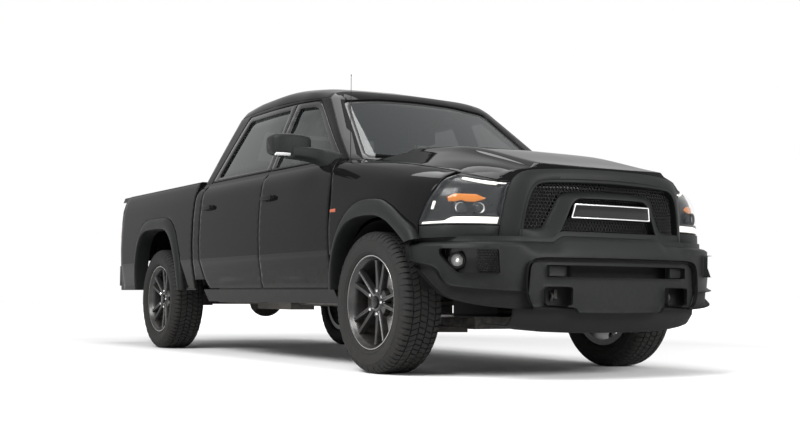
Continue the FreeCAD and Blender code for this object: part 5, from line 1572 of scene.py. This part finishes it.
def bevelled(name, node, width, finish):
    # the node's own solid with soft edges
    mesh = nodes[node].data.copy()
    piece = newObject(name, mesh)
    mesh.transform(nodes[node].matrix_world)
    mesh.materials.clear()
    mesh.materials.append(finishes[finish])
    work = bmesh.new()
    work.from_mesh(mesh)
    bmesh.ops.remove_doubles(work, verts=work.verts, dist=0.00002)
    bmesh.ops.dissolve_limit(work, angle_limit=math.radians(2), verts=work.verts, edges=work.edges)
    work.to_mesh(mesh)
    work.free()
    mesh.polygons.foreach_set("use_smooth", [True] * len(mesh.polygons))
    softened(piece, width, 2, 35)
    smoothedBy(piece, 40)
    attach(piece, "chassis")
    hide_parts(node)


def gatePlace(y, z):
    # the tailgate's face with a shallow pressed field
    field = blendStep(abs((z - 960) / 130.0), 1.12, 0.95) * blendStep(abs(y), 660, 630)
    return -2756.5 + 7 * field, y, z


bedPieces = []
for sideName, s in sides.items():
    rows = []
    for x in (-873, -876, -1400, -2000, -2560, -2640, -2700, -2730, -2737):
        back = abs(bedSkin(1)(x, 1316)[1])
        rows.append([(x, s * (back + 1), 1310), (x, s * (back + 2), 1316), (x, s * (back - 4), 1322),
                     (x, s * (back - 16), 1324.5), (x, s * 862, 1325), (x, s * 850, 1323), (x, s * 845, 1318),
                     (x, s * 842, 1300)])
    bedPieces.append(skinned("bedRail." + sideName, rows, "trim", closed=False, angle=40, ends=False))
    lensLine = rounded([(-2742, 944), (-2645, 944), (-2648, 1271), (-2742, 1271)], [0, 14, 14, 0])
    sideLens = sheet("tailLensSide." + sideName, bedSkin(s), lensLine, "redLens", step=26, hem=3, side=-s, lift=3)
    lensLine = onSide(s, [(866, 944), (904, 944), (892, 1271), (866, 1271)], 6)
    rearLens = sheet("tailLensRear." + sideName, lambda y, z: (-2741, y, z), lensLine, "redLens", step=26, side=-1,
                     depth=20)
    bandLine = onSide(s, [(870, 1010), (898, 1010), (897, 1052), (870, 1052)], 5)
    clearBand = sheet("tailClear." + sideName, lambda y, z: (-2742.5, y, z), bandLine, "pale", step=26, hem=1.5,
                      side=-1, depth=3)
    markLine = rounded([(x, fenderUp(x, z)) for x, z in ((1424, 950), (1498, 950), (1496, 970), (1426, 970))], 5)
    sideMark = sheet("sideMarker." + sideName, fenderSkin(s), markLine, "amberDark", step=30, hem=2, side=-s,
                     lift=3.2, depth=4)
    bedPieces += [sideLens, rearLens, clearBand, sideMark]
ride(bedPieces, "chassis")
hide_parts("lamps")
gateHole = rounded([(117, 1158), (-117, 1158), (-117, 1242), (117, 1242)], 14)
gateLine = rounded([(760, 753), (-760, 753), (-760, 1303), (760, 1303)], 12)
gateSkin = sheet("tailgateSkin", gatePlace, gateLine, "paint", holes=[gateHole], step=22, hem=5, side=-1, depth=16)
gateCap = skinned("tailgateCap", [[(-2764, y, 1298), (-2765, y, 1307), (-2758, y, 1312), (-2700, y, 1313),
                                   (-2684, y, 1311), (-2682, y, 1304), (-2686, y, 1300)]
                                  for y in (-760, -758, 0, 758, 760)], "trim", angle=40)
ride([gateSkin, gateCap], "tailgate")
bevelled("rearBumper", "rear_bumper", 7, "trim")
bevelled("hitchReceiver", "hitch_receiver", 2.5, "chassis")
bevelled("fuelTank", "fuel_tank", 18, "tank")
print("bed and rear made")


# Seats

seatSizes = {"crown": 26.0, "crownReach": 75, "channel": 7.0, "channelWidth": 9.0, "fill": 0.9, "place": 385}


def cushion(name, outline, radius, middle, half, channel=None):
    # a crowned pad: a side outline carried across, its edges drawn in and its two sewn channels pulled down
    ring = spaced(rounded(outline, radius, 6), 16)
    rows = []
    low, width = middle - half, 2 * half
    channels = (middle - channel, middle + channel) if channel else ()
    edges = [0, 3, 9, 20, 38, 62]
    between = list(np.linspace(90, width - 90, max(10, round((width - 180) / 9))))
    for place in edges + between + [width - edge for edge in reversed(edges)]:
        near = min(place, width - place)
        inset = seatSizes["crown"] * max(0.0, 1 - near / seatSizes["crownReach"]) ** 2.4
        for seam in channels:
            inset += seatSizes["channel"] * math.exp(-((low + place - seam) / seatSizes["channelWidth"]) ** 2)
        rows.append([(x, low + place, z) for x, z in moved(ring, -inset)])
    piece = skinned(name, rows, "cloth", angle=70)
    ride(piece, "chassis")
    return piece


def plainBox(name, corners, finish, width):
    x0, x1, y0, y1, z0, z1 = corners
    points = [(x, y, z) for x in (x0, x1) for y in (y0, y1) for z in (z0, z1)]
    faces = [[0, 1, 3, 2], [4, 6, 7, 5], [0, 4, 5, 1], [2, 3, 7, 6], [0, 2, 6, 4], [1, 5, 7, 3]]
    piece = outward(newPiece(name, points, faces, finish))
    softened(piece, width, 3)
    ride(piece, "chassis")


firstPad = None
for sideName, s in sides.items():
    mid = s * seatSizes["place"]
    pads = [
        cushion("seatCushion." + sideName, [(322, 812), (826, 836), (846, 882), (798, 978), (424, 946), (334, 954)],
                [30, 40, 40, 46, 60, 20], mid, 253, 140),
        cushion("seatBack." + sideName, [(338, 962), (452, 962), (328, 1556), (218, 1556), (204, 1400)],
                [20, 30, 46, 40, 60], mid, 243, 130),
        cushion("headRest." + sideName, [(288, 1584), (248, 1584), (229, 1716), (288, 1732)], 20, mid, 118),
    ]
    firstPad = firstPad or pads[0]
    plainBox("seatBase." + sideName, (352, 778, mid - 113, mid + 113, 681, 815), "interior", 10)
    for number, offset in enumerate((-60, 60)):
        stalk = turnedPiece("stalk.%s.%d" % (sideName, number), [(6.5, -12), (6.5, 60)], (262, mid + offset, 1540),
                            (0, 0, 1), "steel", 16)
        ride(stalk, "chassis")
cushion("benchCushion", [(-676, 800), (-206, 800), (-196, 954), (-620, 926), (-676, 930)], [20, 30, 46, 40, 10],
        0, 697, 240)
cushion("benchBack", [(-676, 936), (-574, 936), (-604, 1494), (-676, 1494)], [16, 30, 40, 20], 0, 697, 240)
plainBox("benchBase", (-638, -262, -638, 638, 681, 802), "interior", 10)
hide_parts("seats")
print("seats made")


# Panels behind the corners of the bumper and beside the rear wheelhouses

splash = {"front": 2372, "bow": 34, "from": 430, "to": 705}
for sideName, s in sides.items():
    rows = []
    for y in np.linspace(splash["from"], splash["to"], 14):
        x = splash["front"] - splash["bow"] * ((y - splash["from"]) / (splash["to"] - splash["from"])) ** 1.5
        rows.append([(x, s * y, 480), (x + 4, s * y, 480), (x + 4, s * y, 345), (x + 16, s * y, 336),
                     (x + 16, s * y, 331), (x + 6, s * y, 331), (x, s * y, 342)])
    ride(skinned("splashPanel." + sideName, rows, "rough", angle=35), "chassis")

archPanels = ([(-2228, 786), (-2228, 900), (-2190, 1010), (-2110, 1080), (-2085, 1010), (-2125, 786)],
              [(-1225, 786), (-1250, 1010), (-1230, 1075), (-1140, 1010), (-1085, 900), (-1085, 786)])
for sideName, s in sides.items():
    for number, line in enumerate(archPanels):
        ride(sheet("archPanel.%s.%d" % (sideName, number), lambda x, z, s=s: (x, s * 839, z), line, "paint", step=40,
                   hem=1, side=s, depth=4), "chassis")

# Finishes of the CAD nodes

for node, piece in nodes.items():
    slot = {"tyre": "rubber", "rim": "rim", "knuckle": "cast", "mirror": "trim"}.get(node.split("_")[0])
    slot = slot or {
        "steering_rack": "steel", "ladder_frame": "chassis", "front_suspension": "cast", "rear_axle": "cast",
        "powertrain": "alloy", "exhaust": "exhaust", "fuel_tank": "tank", "spare_wheel": "rubber",
        "front_structure": "chassis", "grille": "trim", "lamps": "gloss", "lamp_lenses": "lens",
        "front_bumper": "trim", "cowl": "trim", "wheel_arches": "trim", "rear_bumper": "trim",
        "hitch_receiver": "chassis", "seats": "cloth", "dashboard": "interior", "screens": "screen",
    }.get(node) or ("glass" if "glass" in node else "paint")
    piece.data.materials.clear()
    piece.data.materials.append(finishes[slot])


# Studio and camera

studio = {"floorLevel": 0.80, "worldLight": 0.42, "keyPower": 900, "fillPower": 350, "rimPower": 500,
          "fadeStart": 4.0, "fadeLength": 6.0}


def lightCard(name, place, target, size, power):
    data = bpy.data.lights.new(name, "AREA")
    data.shape, data.size, data.size_y, data.energy = "RECTANGLE", size[0], size[1], power
    lamp = newObject(name, data)
    lamp.location = place
    lamp.rotation_euler = (Vector(target) - Vector(place)).to_track_quat("-Z", "Y").to_euler()


floorMesh = bpy.data.meshes.new("studioFloor")
floorMesh.from_pydata([(-40, -40, 0), (40, -40, 0), (40, 40, 0), (-40, 40, 0)], [], [(0, 1, 2, 3)])
floor = newObject("studioFloor", floorMesh)
floorFinish, floorShader, floorPlace = newFinish("studioFloor")
link(floorShader, "Base Color", floorPlace.mix(floorPlace.noise(0.4), rgb(studio["floorLevel"] * 0.97),
                                               rgb(studio["floorLevel"])))


def seenBy(tree):
    # 1 for the rays that look at the background, straight or by way of metal and glass
    rays = tree.nodes.new("ShaderNodeLightPath")
    looks = [Wire(tree, rays.outputs[kind]) for kind in ("Is Camera Ray", "Is Glossy Ray", "Is Transmission Ray")]
    return (looks[0] + looks[1] + looks[2]).clamped()


away = floorPlace.node("ShaderNodeVectorMath", {0: floorPlace}, 1, operation="LENGTH")
far = ((away - studio["fadeStart"]) * (1 / studio["fadeLength"])).clamped()
glow = far * seenBy(floorFinish.node_tree)
link(floorShader, "Emission Color", floorPlace.mix(glow, rgb(0), rgb(1.0)))
setValues(floorShader, {"Roughness": 0.9, "Emission Strength": 1.0})
floorMesh.materials.append(floorFinish)

world = bpy.data.worlds.new("studio")
bpy.context.scene.world = world
world.use_nodes = True
seen = seenBy(world.node_tree)
worldShader = world.node_tree.nodes["Background"]
world.node_tree.links.new((seen * (1.0 - studio["worldLight"]) + studio["worldLight"]).socket,
                          worldShader.inputs["Strength"])
worldShader.inputs["Color"].default_value = (1, 1, 1, 1)

lightCard("keyCard", (3.0, -6.0, 5.5), (0.4, -0.4, 0.8), (6.0, 2.6), studio["keyPower"])
lightCard("topCard", (0.2, 0.0, 6.5), (0.2, 0, 1), (6.5, 3.0), studio["fillPower"])
lightCard("frontCard", (8.5, 1.5, 3.4), (2.4, 0, 0.8), (4.0, 2.0), studio["rimPower"])

view = {"place": (7771.5, -4331.7, 446.7), "turn": math.radians(31.1), "tilt": math.radians(3.61),
        "roll": math.radians(0.39), "focal": 1174.8}
cameraData = bpy.data.cameras.new("photoCamera")
camera = newObject("photoCamera", cameraData)
cameraData.sensor_width = 36
cameraData.lens = view["focal"] / 800 * 36
look = Vector((-math.cos(view["turn"]) * math.cos(view["tilt"]), math.sin(view["turn"]) * math.cos(view["tilt"]),
               math.sin(view["tilt"])))
across = look.cross(Vector((0, 0, 1))).normalized()
upright = across.cross(look)
rolledAcross = across * math.cos(view["roll"]) + upright * math.sin(view["roll"])
rolledUp = upright * math.cos(view["roll"]) - across * math.sin(view["roll"])
axes = np.array([rolledAcross, rolledUp, -look]).T
camera.rotation_mode = "QUATERNION"
camera.location = Vector(view["place"]) * mm
camera.rotation_quaternion = Matrix(axes.tolist()).to_quaternion()
cameraData.clip_end = 200
bpy.context.scene.camera = camera
bpy.context.scene.view_settings.view_transform = "Standard"
